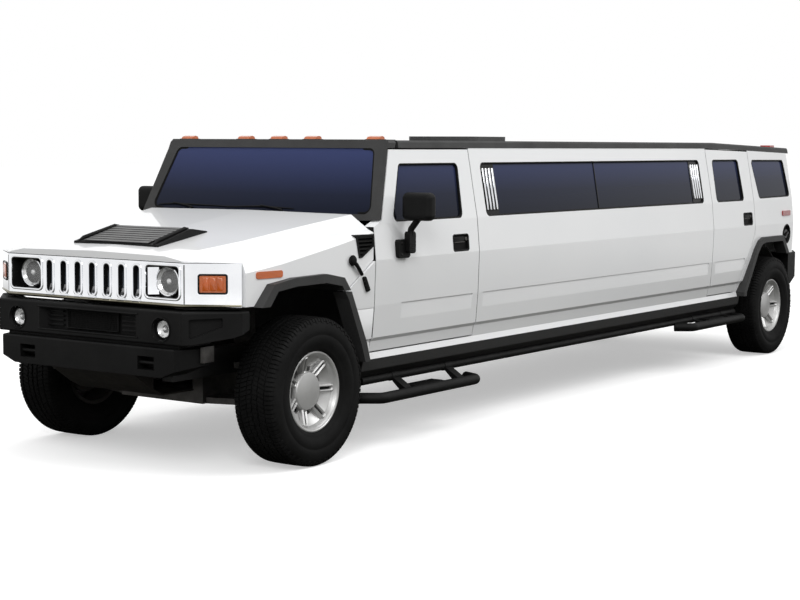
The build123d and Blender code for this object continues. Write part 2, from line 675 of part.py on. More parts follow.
def front_bumper():
    """Upper bumper with angled ends, fog lamp cups and a meshed recess over the lower bar with tow pockets."""
    (corner_x, corner_y), (tip_x, tip_y) = BUMPER_CORNER, BUMPER_TIP
    y0 = front(corner_y)
    plan = [(-tip_x, front(tip_y)), (-corner_x, y0), (corner_x, y0), (tip_x, front(tip_y)),
            (tip_x, front(-540)), (860, front(-540)), (640, front(-690)), (-640, front(-690)),
            (-860, front(-540)), (-tip_x, front(-540))]
    upper = along_z(plan, 755, 946)
    upper = fillet(upper.faces().sort_by(Axis.Z)[-1].edges() + upper.faces().sort_by(Axis.Z)[0].edges(), 12)
    rising = along_x([(front(-900), 740), (front(-500), 740), (front(-500), 860), (front(-640), 800),
                      (y0, 757)],
                     corner_x + 20, 1100)
    pocket_corners = [bumper_face_point(x, z, 5) for x, z in BUMPER_POCKET]
    inward = Vector(*bumper_face_point(900, 900, -1)) - Vector(*bumper_face_point(900, 900, 0))
    pocket = extrude(outline_face(pocket_corners, 8), amount=33, dir=inward)
    upper -= both_sides(rising + pocket)
    upper -= along_z([(-390, y0 - 5), (390, y0 - 5), (355, y0 + 60), (-355, y0 + 60)], 790, 912)
    for side in (-1, 1):
        upper -= Pos(side * FOG_X, y0 + 19.5, FOG_Z) * Rot(90, 0, 0) * Cone(FOG_RADIUS, FOG_RADIUS + 16, 41)
    low_plan = [(-745, front(-675)), (-680, front(-FRONT_OVERHANG)), (680, front(-FRONT_OVERHANG)),
                (745, front(-675)), (745, front(-640)), (-745, front(-640))]
    lower = along_z(low_plan, 575, 738)
    lower = fillet(lower.faces().sort_by(Axis.Z)[-1].edges(), 10)
    under = along_y([(540, 560), (800, 560), (800, 660)], front(-900), front(-600))
    lower -= both_sides(under)
    hooks = []
    for side in (-1, 1):
        x = side * TOW_HOOK_X
        lower -= block(x - 62, x + 62, front(-FRONT_OVERHANG) - 5, front(-770), 612, 688)
        hooks.append(rod_x(x - 64, x + 64, front(-FRONT_OVERHANG) + 24, 650, 11))
    core = block(-680, 680, front(-800), front(-690), 730, 780)
    return joined([upper, core, lower] + hooks)


def fog_lamps():
    """Round fog lamps in the bumper's cups."""
    back = front(BUMPER_CORNER[1]) + 40
    bowl = Pos(FOG_X, back - 10, FOG_Z) * Rot(90, 0, 0) * Cylinder(FOG_RADIUS - 2, 20)
    dome_radius = 120
    rise = dome_radius - (dome_radius ** 2 - (FOG_RADIUS - 2) ** 2) ** 0.5
    dome = Pos(FOG_X, back - 20 - rise + dome_radius, FOG_Z) * Sphere(dome_radius)
    tube = Pos(FOG_X, back - 45, FOG_Z) * Rot(90, 0, 0) * Cylinder(FOG_RADIUS - 2, 50)
    return both_sides(bowl + (dome & tube))


def skid_plate():
    side = [(front(-800), 566), (front(-800), 574), (front(-640), 574), (front(-640), 470),
            (front(-560), 430),
            (front(-300), 430), (front(-300), 422), (front(-566), 422), (front(-650), 464)]
    return along_x(side, -330, 330)


def rear_bumper():
    """Wraparound bumper with a step on top and the four holes for a plate."""
    y1 = rear(REAR_OVERHANG)
    wing, corner = rear(BUMPER_WING), rear(BODY_REAR + 60)
    plan = [(-970, wing), (-970, corner), (-860, y1), (860, y1), (970, corner), (970, wing),
            (890, wing), (890, rear(BODY_REAR) + 5), (-890, rear(BODY_REAR) + 5), (-890, wing)]
    bumper = along_z(plan, 600, BUMPER_TOP_Z)
    bumper = fillet(bumper.faces().sort_by(Axis.Z)[-1].edges(), 8)
    knee = along_x([(rear(500), 594), (y1 + 5, 590), (y1 + 5, 790), (rear(651), 678)], KNEE_X, 1100)
    bumper -= both_sides(knee)
    bumper -= block(-620, 620, rear(BODY_REAR + 60), y1 - 40, BUMPER_TOP_Z - 8, BUMPER_TOP_Z + 5)
    for x in (-PLATE_PITCH[0] / 2, PLATE_PITCH[0] / 2):
        for z in (PLATE_Z - PLATE_PITCH[1] / 2, PLATE_Z + PLATE_PITCH[1] / 2):
            bumper -= rod_y(x, y1 - 30, y1 + 5, z, PLATE_HOLE_RADIUS)
    return bumper


def sills():
    """Painted sills under the doors and the fixed fender corners behind the front wheels."""
    y0, y1 = front(492), rear(-660)
    beam = [(950, SILL_Z), (962, 560), (860, 560), (860, SILL_Z)]
    sill = along_y(beam, y0 + 60, y1)
    hull = along_y(section_outline(0), front(200), front(FRONT_DOOR_FRONT) - PANEL_GAP)
    corner = lower_fender_cut(0) & hull
    corner -= along_y(section_outline(WALL), front(100), front(800))
    corner = half(corner, 1)
    post = along_x([(front(450), 690), (front(FRONT_DOOR_FRONT) - PANEL_GAP, 690),
                    (front(FRONT_DOOR_FRONT) - PANEL_GAP, SILL_Z), (front(500), SILL_Z)], 870, 960)
    return both_sides(joined([sill, corner, post]) - arch_prism(FRONT_ARCH, front(0), 0))


def side_cladding():
    """Black mouldings: rockers from arch to arch, the rear flares and the front flares' rear legs."""
    y0, y1 = front(500), rear(-640)
    foot_z = RAIL_TUBE[1] + RAIL_TUBE[2] + 1
    rocker = along_y([(975, CLADDING_Z[1]), (960, CLADDING_Z[0]), (920, foot_z), (890, foot_z), (880, 558),
                      (965, 558)],
                     y0, y1)
    rear_part = block(900, 1100, rear(-800), rear(0), CLADDING_Z[1], 1200)
    rear_part += block(900, 1100, rear(0), rear(400), REAR_ARCH[-1][1], 1200)
    front_part = block(900, 1100, front(200), front(700), CLADDING_Z[1], 998)
    return both_sides(joined([rocker, flare(REAR_ARCH, rear(0)) & rear_part,
                              flare(FRONT_ARCH, front(0)) & front_part]))


def running_boards():
    """Long tubes under the rockers, with a bent step tube and a tread plate at each door."""
    pieces = [rod_y(RAIL_TUBE[0], front(560), rear(-620), RAIL_TUBE[1], RAIL_TUBE[2])]
    table = [  # front end, rear end, height of the tube
        (front(492), front(1760), 330), (rear(-1830), rear(-640), 388)]
    for y0, y1, z in table:
        x, inner = STEP_X, RAIL_TUBE[0] + 20
        pieces.append(bent_tube([(inner, y0 + 22, z), (x, y0 + 110, z), (x, y1 - 90, z), (inner, y1 - 36, z)],
                                60, STEP_RADIUS))
        span = y1 - y0
        for share in (0.33, 0.80):
            y = y0 + span * share
            strap = [(RAIL_TUBE[0] - 12, RAIL_TUBE[1]), (RAIL_TUBE[0] + 14, RAIL_TUBE[1]), (x + 4, z + 14),
                     (x - 4, z - 14), (x - 40, z - 8)]
            pieces.append(along_y(strap, y - 35, y + 35))
        pieces.append(block(inner + 16, x + 4, y0 + span * 0.36, y0 + span * 0.62, z + 14, z + 36))
    return both_sides(joined(pieces))


def chassis_frame():
    """Two boxed rails, with cross members between them and outriggers to the sills, welded flush."""
    inner, outer = RAIL_X - RAIL_WIDTH / 2, RAIL_X + RAIL_WIDTH / 2
    low, high = RAIL_Z
    pieces = [block(inner, outer, front(-640), rear(540), low, high),
              block(-outer, -inner, front(-640), rear(540), low, high)]
    for y in (front(-640), front(-60), front(1150), front(2300), front(3500), rear(-1900), rear(-700),
              rear(440)):
        pieces.append(block(-inner, inner, y, y + 90, 540, 640))
    for y in (front(1400), front(2600), front(4200), rear(-1200)):
        pieces += [block(outer, 855, y, y + 60, 560, 620), block(-855, -outer, y, y + 60, 560, 620)]
    return separate(pieces + [tow_receiver()])


def tow_receiver():
    """The square socket for a tow bar, with its cross pin hole."""
    half_size, wall = RECEIVER_BORE / 2 + RECEIVER_WALL, RECEIVER_WALL
    y0, y1 = rear(530), rear(REAR_OVERHANG) - 10
    tube = block(-half_size, half_size, y0, y1, RECEIVER_Z - half_size, RECEIVER_Z + half_size)
    tube -= block(-half_size + wall, half_size - wall, y0 + 70, y1 + 5, RECEIVER_Z - half_size + wall,
                  RECEIVER_Z + half_size - wall)
    return tube - rod_x(-60, 60, y1 - RECEIVER_PIN_SETBACK, RECEIVER_Z, RECEIVER_PIN_RADIUS)


def floor_pan():
    """Cabin floor, the firewall standing on it, and the housings over the rear wheels."""
    y0, y1 = front(FRONT_DOOR_FRONT) + 10, rear(BODY_REAR) - REAR_WALL - 10
    low, high = FLOOR_Z
    inner_x, outer_x, reach, skin = 575, 870, 540, 12
    room = rod_x(inner_x, outer_x + 50, rear(0), TYRE_RADIUS, reach)
    floor = block(-outer_x, outer_x, y0, y1, low, high) - both_sides(room)
    firewall = block(-860, 860, y0, y0 + 40, high, 1370)
    housing = rod_x(inner_x, outer_x, rear(0), TYRE_RADIUS, reach)
    housing -= rod_x(inner_x + skin, outer_x + 1, rear(0), TYRE_RADIUS, reach - skin)
    housing &= block(inner_x - 1, outer_x + 1, rear(-reach), rear(reach), low, 1100)
    return separate([floor, firewall, housing, housing.mirror(Plane.YZ)])


def powertrain():
    """Engine as one plain block, gearbox, and the long shaft to the rear axle."""
    engine = block(-300, 300, front(-420), front(300), 700, 1180)
    gearbox = along_x([(front(300), 740), (front(300), 560), (front(1100), 410), (front(1100), 600),
                       (front(560), 680)],
                      -130, 130)
    shaft = rod_y(0, front(1100), rear(-148), 470, 45)
    return separate([engine, gearbox, shaft])


def rear_axle():
    """The rear axle in one revolved profile, with its trailing arms."""
    tube_radius, case_radius, case_width = AXLE_TUBE_RADIUS, 148, 120
    hub_radius = RIM_BORE_RADIUS - RUNNING_CLEARANCE
    end, shoulder = WHEEL_X + HUB_FACE - HUB_END_PLAY, WHEEL_X - 60
    profile = [(-end, 0), (-end, hub_radius), (-shoulder, hub_radius), (-shoulder, tube_radius),
               (-case_width, tube_radius), (-case_width / 2, case_radius), (case_width / 2, case_radius),
               (case_width, tube_radius), (shoulder, tube_radius), (shoulder, hub_radius),
               (end, hub_radius), (end, 0)]
    face = make_face(Polyline(*[(x, r, 0) for x, r in profile], close=True))
    return separate([Pos(0, rear(0), TYRE_RADIUS) * revolve(face, Axis.X), rear_suspension()])


def front_suspension():
    """Wishbones, cross member, and a spring over a damper on each side."""
    arms = []
    for inner_x, half_span, z in ((300, 200, LOWER_ARM_Z), (485, 120, UPPER_ARM_Z)):
        arm = along_z([(inner_x, front(-half_span)), (KINGPIN_X, front(-35)), (KINGPIN_X, front(35)),
                       (inner_x, front(half_span))], z, z + ARM_THICKNESS)
        arms.append(both_sides(arm + rod_z(KINGPIN_X, front(0), z, z + ARM_THICKNESS, 35)))
    cross = block(-330, 330, front(-220), front(220), LOWER_ARM_Z, 530)
    cross -= block(-250, 250, front(-240), front(240), 400, 500)
    damper = rod_z(DAMPER_X, front(-60), LOWER_ARM_Z + ARM_THICKNESS - 2, UPPER_ARM_Z + 2, 26)
    return joined(arms + [cross, both_sides(damper)])


def rear_suspension():
    """Trailing arms from the frame to the top of the axle tube."""
    low = RAIL_Z[0]
    seat_z = TYRE_RADIUS + AXLE_TUBE_RADIUS
    arm = along_x([(rear(-820), low - 70), (rear(-820), low), (rear(-760), low), (rear(-60), seat_z + 30),
                   (rear(60), seat_z + 30), (rear(60), seat_z), (rear(-60), seat_z), (rear(-780), low - 70)],
                  RAIL_X - 30, RAIL_X + 30)
    return both_sides(arm)


def knuckle(side):
    """The steering knuckle: its post between the two arms, and the spindle that carries the wheel."""
    post = rod_z(KINGPIN_X, front(0), LOWER_ARM_Z + ARM_THICKNESS + JOINT_CLEARANCE,
                 UPPER_ARM_Z - JOINT_CLEARANCE, 40)
    spindle = rod_x(KINGPIN_X, WHEEL_X + HUB_FACE - HUB_END_PLAY, front(0), TYRE_RADIUS,
                    RIM_BORE_RADIUS - RUNNING_CLEARANCE)
    shape = post + spindle
    return shape if side > 0 else shape.mirror(Plane.YZ)


def tyre(x, y):
    half_width, tread = TYRE_WIDTH / 2, TREAD_WIDTH / 2
    bead = RIM_RADIUS + 2
    profile = [(bead, -110), (300, -half_width), (360, -half_width), (TYRE_RADIUS - 22, -tread),
               (TYRE_RADIUS, -tread + 25), (TYRE_RADIUS, tread - 25), (TYRE_RADIUS - 22, tread),
               (360, half_width), (300, half_width), (bead, 110)]
    face = make_face(Polyline(*[(r, 0, w) for r, w in profile], close=True))
    ring = revolve(face, Axis.Z)
    return Pos(x, y, TYRE_RADIUS) * Rot(0, 90, 0) * ring


def rim(x, y, side):
    """A deep alloy wheel: barrel, dished face with openings, double ribs and a plain cap."""
    barrel = [(RIM_RADIUS + 2, -110), (RIM_RADIUS + 2, 110), (RIM_RADIUS - 14, 110), (RIM_RADIUS - 24, 92),
              (RIM_RADIUS - 24, -110)]
    dish = [(RIM_BORE_RADIUS, -30), (RIM_BORE_RADIUS, HUB_FACE), (0, HUB_FACE), (0, CAP_FACE),
            (CAP_RADIUS - 14, CAP_FACE),
            (CAP_RADIUS, CAP_FACE - 14), (CAP_RADIUS, 38), (RIM_RADIUS - 22, 78), (RIM_RADIUS - 22, 60),
            (CAP_RADIUS - 10, 16), (90, -30)]
    wheel = revolve(outline_face([(r, 0, w) for r, w in barrel], 0), Axis.Z)
    wheel += revolve(outline_face([(r, 0, w) for r, w in dish], 0), Axis.Z)
    rib_face = [(CAP_RADIUS - 6, 30), (CAP_RADIUS - 6, CAP_FACE - 6), (RIM_RADIUS - 20, 100),
                (RIM_RADIUS - 20, 66)]
    rib = extrude(outline_face([(r, -RIB_WIDTH / 2, w) for r, w in rib_face], 0), amount=RIB_WIDTH,
                  dir=(0, 1, 0))
    groove = [(CAP_RADIUS + 8, 50), (CAP_RADIUS + 8, 90), (RIM_RADIUS - 32, 120), (RIM_RADIUS - 32, 80)]
    rib -= extrude(outline_face([(r, -RIB_WIDTH / 6, w) for r, w in groove], 0), amount=RIB_WIDTH / 3,
                   dir=(0, 1, 0))
    for n in range(SPOKES):
        turn = Rot(0, 0, 360 / SPOKES * n)
        window = turn * Rot(0, 0, 180 / SPOKES) * Pos(CAP_RADIUS + 22, 0, 40) * Box(34, 62, 80)
        wheel = wheel - window + turn * rib
    return Pos(x, y, TYRE_RADIUS) * Rot(0, 90 * side, 0) * wheel


def wheels():
    parts = {}
    for end, y in (("front", front(0)), ("rear", rear(0))):
        for side_name, side in (("left", 1), ("right", -1)):
            parts[f"{end}_{side_name}_tyre"] = tyre(side * WHEEL_X, y)
            parts[f"{end}_{side_name}_rim"] = rim(side * WHEEL_X, y, side)
    return parts


def mirror(side):
    """A tall door mirror: foot on the door, bent arm and a rounded head with its glass recess."""
    y = front(MIRROR_Y)
    foot = along_x([(y - 75, 1168), (y + 45, 1168), (y + 45, 1282), (y - 75, 1282)], 960, 1030, 20)
    foot -= body_solid(0, 0)
    pivot = along_x([(y - 10, 1196), (y + 58, 1196), (y + 58, 1330), (y - 10, 1330)], 1022, 1062, 20)
    arm = bent_tube([(1042, y + 24, 1300), (1048, y + 24, 1345), (1120, y + 24, 1430)], 30, 20)
    head = fillet(block(1000, 1215, y - 25, y + 68, 1398, 1570).edges(), 36)
    head -= along_y([(1021, 1420), (1195, 1420), (1195, 1550), (1021, 1550)], y + 60, y + 80, 26)
    shape = joined([foot, pivot, arm, head])
    return shape if side > 0 else shape.mirror(Plane.YZ)


def roof_lamps():
    """Amber clearance lamps over the windshield."""
    lamp = along_x([(front(868), 1892), (front(936), 1892), (front(930), 1908), (front(908), 1914),
                    (front(884), 1908)],
                   -48, 48)
    return separate([Pos(x, 0, 0) * lamp for x in ROOF_LAMPS_X])


def rear_roof_lamps():
    """Red clearance lamps on the roof's rear edge."""
    lamp = block(-48, 48, rear(380), rear(470), ROOF_BASE_Z - 20, ROOF_CROWN_Z - ROOF_FALL + 24)
    lamps = [Pos(x, 0, 0) * lamp for x in REAR_LAMPS_X]
    return joined(lamps) - roof_outer()


def tail_lamps():
    """Upright lamps at the rear corners, side markers on the quarter panels, and the roof's red lamps."""
    hull = body_solid(0, 0)
    lamps = []
    for x in (-840, 840):
        lamp = along_y(slot_outline(x, 1010, 1270, 84), rear(BODY_REAR) - 10, rear(BODY_REAR) + 18, 14)
        lamps.append(lamp - hull)
    y0, y1, z0, z1 = rear(REAR_MARKER_Y[0]), rear(REAR_MARKER_Y[1]), REAR_MARKER_Z[0], REAR_MARKER_Z[1]
    marker = along_x([(y0, z0), (y1, z0), (y1, z1), (y0, z1)], 960, 1007, 10) - hull
    return separate(lamps + [marker, marker.mirror(Plane.YZ), rear_roof_lamps()])


def exhaust():
    pipe = rod_y(-250, front(1200), rear(-1000), 470, 32)
    silencer = rod_y(-250, rear(-1000), rear(-480), 445, 85)
    return pipe + silencer


def fuel_tank():
    return block(120, 380, rear(-1750), rear(-760), 380, 535)


def dashboard():
    """Dashboard with the steering column and wheel."""
    dash = along_x([(front(640), 1000), (front(640), 1330), (front(900), 1350), (front(960), 1250),
                    (front(900), 1000)],
                   -840, 840)
    hub = Pos(400, front(1070), 1300) * Rot(-65, 0, 0)
    wheel = hub * (Cylinder(206, 26) - Cylinder(176, 30))
    spokes = hub * Box(360, 44, 14)
    column = hub * Pos(0, 0, -110) * Cylinder(28, 220)
    return joined([dash, wheel, spokes, column])


def seat(x, y0):
    cushion = block(x - 270, x + 270, y0, y0 + 520, 930, 1080)
    back = along_x([(y0 + 470, 1080), (y0 + 590, 1080), (y0 + 720, 1640), (y0 + 620, 1640)], x - 260, x + 260)
    base = block(x - 220, x + 220, y0 + 40, y0 + 480, FLOOR_Z[1], 930)
    return separate([cushion, back, base])


def front_seats():
    return separate([seat(side * 430, front(1130)) for side in (-1, 1)])


def lounge_seats():
    """The long bench down the right side and the bench across the rear."""
    y0, y1 = front(2300), rear(-1500)
    low = FLOOR_Z[1]
    return separate([
        block(-840, -340, y0, y1, low, 1080), block(-840, -700, y0, y1, 1080, 1380),
        block(-560, 560, rear(-420), rear(0), low, 1100), block(-560, 560, rear(0), rear(130), low, 1600)])


def bar_cabinet():
    return block(560, 840, front(2600), front(4800), 730, 1200)


def partition():
    wall = block(-820, 820, front(2000), front(2040), 730, 1360)
    return wall


def build():
    shell = body_shell()
    parts = {
        "chassis_frame": chassis_frame(),
        "floor_pan": floor_pan(),
        "windshield_frame": windshield_frame(),
        "fixed_glass": fixed_glass(),
        "roof": roof(),
        "roof_trim": roof_trim(),
        "roof_lamps": roof_lamps(),
        "side_panels": side_panels(shell),
        "quarter_panels": quarter_panels(shell),
        "sills": sills(),
        "side_cladding": side_cladding(),
        "running_boards": running_boards(),
        "front_bumper": front_bumper(),
        "skid_plate": skid_plate(),
        "rear_bumper": rear_bumper(),
        "tail_lamps": tail_lamps(),
        "fog_lamps": fog_lamps(),
        "powertrain": powertrain(),
        "rear_axle": rear_axle(),
        "front_suspension": front_suspension(),
        "exhaust": exhaust(),
        "fuel_tank": fuel_tank(),
        "dashboard": dashboard(),
        "front_seats": front_seats(),
        "lounge_seats": lounge_seats(),
        "bar_cabinet": bar_cabinet(),
        "partition": partition(),
        "hood_shell": hood_shell(),
        "grille": grille(),
        "headlamps": front_lamps(),
        "turn_signals": turn_signals(),
        "hood_vent": separate([hood_vent(), fender_louvres()]),
        "front_flares": front_flares(),
        "left_mirror": mirror(1),
        "right_mirror": mirror(-1),
        "left_knuckle": knuckle(1),
        "right_knuckle": knuckle(-1),
    }
    parts.update(doors(shell))
    parts.update(tailgate(shell))
    parts.update(wheels())
    return parts


os.makedirs("parts", exist_ok=True)
for name, shape in build().items():
    export_step(shape, f"parts/{name}.step")
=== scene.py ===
"""Stretch limousine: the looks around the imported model. Metres; +Z up, -Y the front, +X the left side."""
import json
import math

import bmesh
import bpy
from mathutils import Matrix, Vector


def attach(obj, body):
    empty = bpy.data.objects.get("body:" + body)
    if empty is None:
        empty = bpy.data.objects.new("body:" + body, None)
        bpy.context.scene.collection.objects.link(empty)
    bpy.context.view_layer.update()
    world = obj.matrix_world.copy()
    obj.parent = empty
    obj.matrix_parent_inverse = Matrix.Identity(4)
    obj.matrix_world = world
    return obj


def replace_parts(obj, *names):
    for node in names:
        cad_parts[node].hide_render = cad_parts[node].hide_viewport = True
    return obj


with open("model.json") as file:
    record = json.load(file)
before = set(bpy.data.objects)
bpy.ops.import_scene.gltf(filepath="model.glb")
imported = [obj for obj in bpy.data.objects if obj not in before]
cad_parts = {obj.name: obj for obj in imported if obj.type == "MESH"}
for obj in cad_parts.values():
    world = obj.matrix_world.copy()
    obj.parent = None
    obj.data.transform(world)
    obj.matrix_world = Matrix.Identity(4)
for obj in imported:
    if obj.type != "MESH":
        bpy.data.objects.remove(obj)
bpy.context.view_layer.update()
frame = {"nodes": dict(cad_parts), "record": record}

record = frame["record"]
nodes = frame["nodes"]

FRONT_AXLE = -3.3375
REAR_AXLE = 3.3365
WHEEL_Z = 0.436
WHEEL_X = 0.8815


# Camera

def make_camera():
    data = bpy.data.cameras.new("photo_camera")
    camera = bpy.data.objects.new("photo_camera", data)
    bpy.context.scene.collection.objects.link(camera)
    yaw, pitch, roll = (math.radians(a) for a in (-34.93, -5.27, 0.29))
    forward = Vector((math.sin(yaw) * math.cos(pitch), math.cos(yaw) * math.cos(pitch), math.sin(pitch)))
    right = forward.cross(Vector((0, 0, 1))).normalized()
    up = right.cross(forward)
    right, up = (right * math.cos(roll) + up * math.sin(roll), up * math.cos(roll) - right * math.sin(roll))
    axes = Matrix((right, up, -forward)).transposed()
    camera.matrix_world = Matrix.Translation((6.949, -11.008, 1.866)) @ axes.to_4x4()
    data.sensor_width = 36
    data.lens = 1693 / 800 * 36
    data.clip_end = 200
    bpy.context.scene.camera = camera


make_camera()


# Materials

class Mat:
    """A node material: inputs are set on the shader, and textures are wired by short calls."""

    def __init__(self, name, **values):
        self.material = bpy.data.materials.new(name)
        self.material.use_nodes = True
        self.tree = self.material.node_tree
        self.shader = self.tree.nodes["Principled BSDF"]
        for key, value in values.items():
            value = (*value, 1) if isinstance(value, tuple) else value
            self.shader.inputs[key.replace("_", " ")].default_value = value

    def node(self, kind, inputs=(), **settings):
        node = self.tree.nodes.new("ShaderNode" + kind)
        for key, value in settings.items():
            setattr(node, key, value)
        for key, value in dict(inputs).items():
            if isinstance(value, bpy.types.NodeSocket):
                self.tree.links.new(value, node.inputs[key])
            else:
                node.inputs[key].default_value = value
        return node

    def link(self, socket, key):
        self.tree.links.new(socket, self.shader.inputs[key])

    def coords(self):
        return self.node("TexCoord").outputs["Object"]

    def noise(self, scale, detail=4, roughness=0.55, stretch=None):
        where = self.coords()
        if stretch:
            where = self.node("Mapping", {"Vector": where, "Scale": stretch}).outputs["Vector"]
        return self.node("TexNoise", {"Vector": where, "Scale": scale, "Detail": detail,
                                      "Roughness": roughness}).outputs["Fac"]

    def ramp(self, fac, stops):
        node = self.node("ValToRGB", {"Fac": fac})
        elements = node.color_ramp.elements
        while len(elements) < len(stops):
            elements.new(0.5)
        for element, (position, colour) in zip(elements, stops):
            element.position = position
            element.color = (*colour, 1) if isinstance(colour, tuple) else (colour, colour, colour, 1)
        return node.outputs["Color"]

    def tones(self, fac, low, high, start=0.3, end=0.7):
        """The base colour runs between two tones along a texture."""
        self.link(self.ramp(fac, [(start, low), (end, high)]), "Base Color")

    def roughness(self, fac, low, high):
        ranged = self.node("MapRange", {"Value": fac, "To Min": low, "To Max": high})
        self.link(ranged.outputs["Result"], "Roughness")

    def bump(self, height, strength, distance):
        node = self.node("Bump", {"Height": height, "Strength": strength, "Distance": distance})
        self.link(node.outputs["Normal"], "Normal")
        return self


def height_fade(m, low, high):
    """0 below the low height, 1 above the high one."""
    z = m.node("SeparateXYZ", {"Vector": m.coords()}).outputs["Z"]
    return m.node("MapRange", {"Value": z, "From Min": low, "From Max": high}).outputs["Result"]


def paint():
    m = Mat("white_paint", Roughness=0.32, IOR=1.5, Coat_Weight=0.7, Coat_Roughness=0.03)
    m.tones(m.noise(0.9, 5), (0.80, 0.81, 0.82), (0.84, 0.845, 0.85))
    m.bump(m.noise(260, 2), 0.02, 0.001)
    return m.material


def textured_plastic(name="black_plastic", low=0.003, high=0.008, rough=0.5, grain=700, strength=0.3,
                     specular=0.14):
    m = Mat(name, IOR=1.45, Specular_IOR_Level=specular)
    m.tones(m.noise(3.5, 6), low, high)
    fine = m.noise(grain, 3, 0.6)
    m.roughness(m.noise(9, 5), rough - 0.08, rough + 0.12)
    m.bump(fine, strength, 0.0015)
    return m.material


def chrome(name="bright_chrome", low=(0.74, 0.75, 0.77), high=(0.82, 0.83, 0.85), rough=0.03, metallic=1.0):
    m = Mat(name, Metallic=metallic)
    m.tones(m.noise(5, 4), low, high)
    m.roughness(m.noise(30, 4), rough, rough + 0.06)
    return m.material


# Heights in metres that bound painted light: the slot backs' painted reflection, the windows' painted sky
# reflection and the painted shade under the rocker moulding.
SLOT_FOOT_M, SLOT_HEAD_M = 0.99, 1.18
GLASS_FOOT_M, GLASS_HEAD_M = 1.38, 1.86
MOULDING_EDGE_M = (0.488, 0.504)


def slot_back_painted_reflection():
    """The backs of the grille's slots, with a painted reflection and painted shade: dark above, brighter and
    bluish below.
    """
    m = Mat("slot_back_painted_reflection", Metallic=0.3)
    stops = [(0.0, (0.60, 0.64, 0.70)), (0.5, (0.22, 0.25, 0.30)), (0.9, (0.03, 0.035, 0.045))]
    m.link(m.ramp(height_fade(m, SLOT_FOOT_M, SLOT_HEAD_M), stops), "Base Color")
    m.roughness(m.noise(40, 3), 0.25, 0.4)
    return m.material


def dark_glass():
    m = Mat("navy_glass_painted_sky_reflection", Roughness=0.02, IOR=1.5, Transmission_Weight=0.08, Specular_IOR_Level=0.1,
            Specular_Tint=(0.45, 0.55, 1.0))
    # navy tint, lighter and bluer towards the top: a painted sky reflection
    stops = [(0.0, (0.006, 0.007, 0.010)), (0.35, (0.014, 0.017, 0.032)), (1.0, (0.048, 0.062, 0.160))]
    m.link(m.ramp(height_fade(m, GLASS_FOOT_M, GLASS_HEAD_M), stops), "Base Color")
    m.bump(m.noise(1.3, 2), 0.03, 0.01)
    return m.material


def lens(name, colour, emission=0.0):
    m = Mat(name, Roughness=0.12, IOR=1.49, Transmission_Weight=0.3, Coat_Weight=0.5)
    m.tones(m.noise(14, 3), tuple(c * 0.75 for c in colour), colour, 0.25, 0.75)
    if emission:
        m.shader.inputs["Emission Color"].default_value = (*colour, 1)
        m.shader.inputs["Emission Strength"].default_value = emission
    wave = m.node("TexWave", {"Vector": m.coords(), "Scale": 90.0, "Distortion": 0.0}, bands_direction="Z")
    m.bump(wave.outputs["Fac"], 0.1, 0.001)
    return m.material


def rocker_plastic_painted_shade():
    """The grey moulding, with painted shade: black below its lower edge, in the hollow under it."""
    m = Mat("rocker_plastic_painted_shade", IOR=1.45, Specular_IOR_Level=0.3, Roughness=0.55)
    m.link(m.ramp(height_fade(m, *MOULDING_EDGE_M), [(0.0, 0.003), (1.0, 0.030)]), "Base Color")
    m.bump(m.noise(600, 3, 0.6), 0.35, 0.0015)
    return m.material


def clear_glass():
    """Lamp glass with upright flutes, dusted a little."""
    m = Mat("lamp_glass", IOR=1.45, Alpha=0.12)
    m.tones(m.noise(20, 3), (0.93, 0.94, 0.95), (0.98, 0.98, 0.98))
    m.roughness(m.noise(35, 4), 0.0, 0.05)
    wave = m.node("TexWave", {"Vector": m.coords(), "Scale": 45.0, "Distortion": 0.0}, bands_direction="X")
    m.bump(wave.outputs["Fac"], 0.12, 0.002)
    return m.material


def tyre_rubber():
    m = Mat("tyre_rubber", IOR=1.45, Specular_IOR_Level=0.12)
    m.tones(m.noise(7, 6), 0.003, 0.009, end=0.75)
    m.roughness(m.noise(15, 5), 0.55, 0.8)
    m.bump(m.noise(420, 3), 0.25, 0.001)
    return m.material


def silver_alloy():
    m = Mat("silver_alloy", Metallic=0.55, Coat_Weight=0.2, Coat_Roughness=0.15)
    m.tones(m.noise(6, 4), (0.46, 0.46, 0.455), (0.56, 0.56, 0.555))
    m.roughness(m.noise(60, 4), 0.34, 0.48)
    m.bump(m.noise(500, 2), 0.06, 0.001)
    return m.material


def rough_metal(name, low, high, metallic, rough, scale=8):
    m = Mat(name, Metallic=metallic)
    m.tones(m.noise(scale, 8, 0.65), low, high)
    m.roughness(m.noise(scale * 3, 5), rough - 0.1, rough + 0.15)
    m.bump(m.noise(120, 5), 0.35, 0.002)
    return m.material


def black_leather():
    m = Mat("black_leather", IOR=1.45, Sheen_Weight=0.1)
    m.tones(m.noise(10, 5), 0.010, 0.022)
    cells = m.node("TexVoronoi", {"Vector": m.coords(), "Scale": 260.0}, feature="DISTANCE_TO_EDGE")
    m.roughness(m.noise(40, 3), 0.38, 0.55)
    m.bump(cells.outputs["Distance"], 0.5, 0.002)
    return m.material


PAINT = paint()
PLASTIC = textured_plastic()
GREY_PLASTIC = textured_plastic("grey_plastic", 0.018, 0.034, 0.55, 600, 0.35, 0.4)
ROCKER_PAINTED_SHADE = rocker_plastic_painted_shade()
VENT = textured_plastic("vent_plastic", 0.032, 0.045, 0.3, 900, 0.1, 0.4)
SLOT_BACK_REFLECTION = slot_back_painted_reflection()
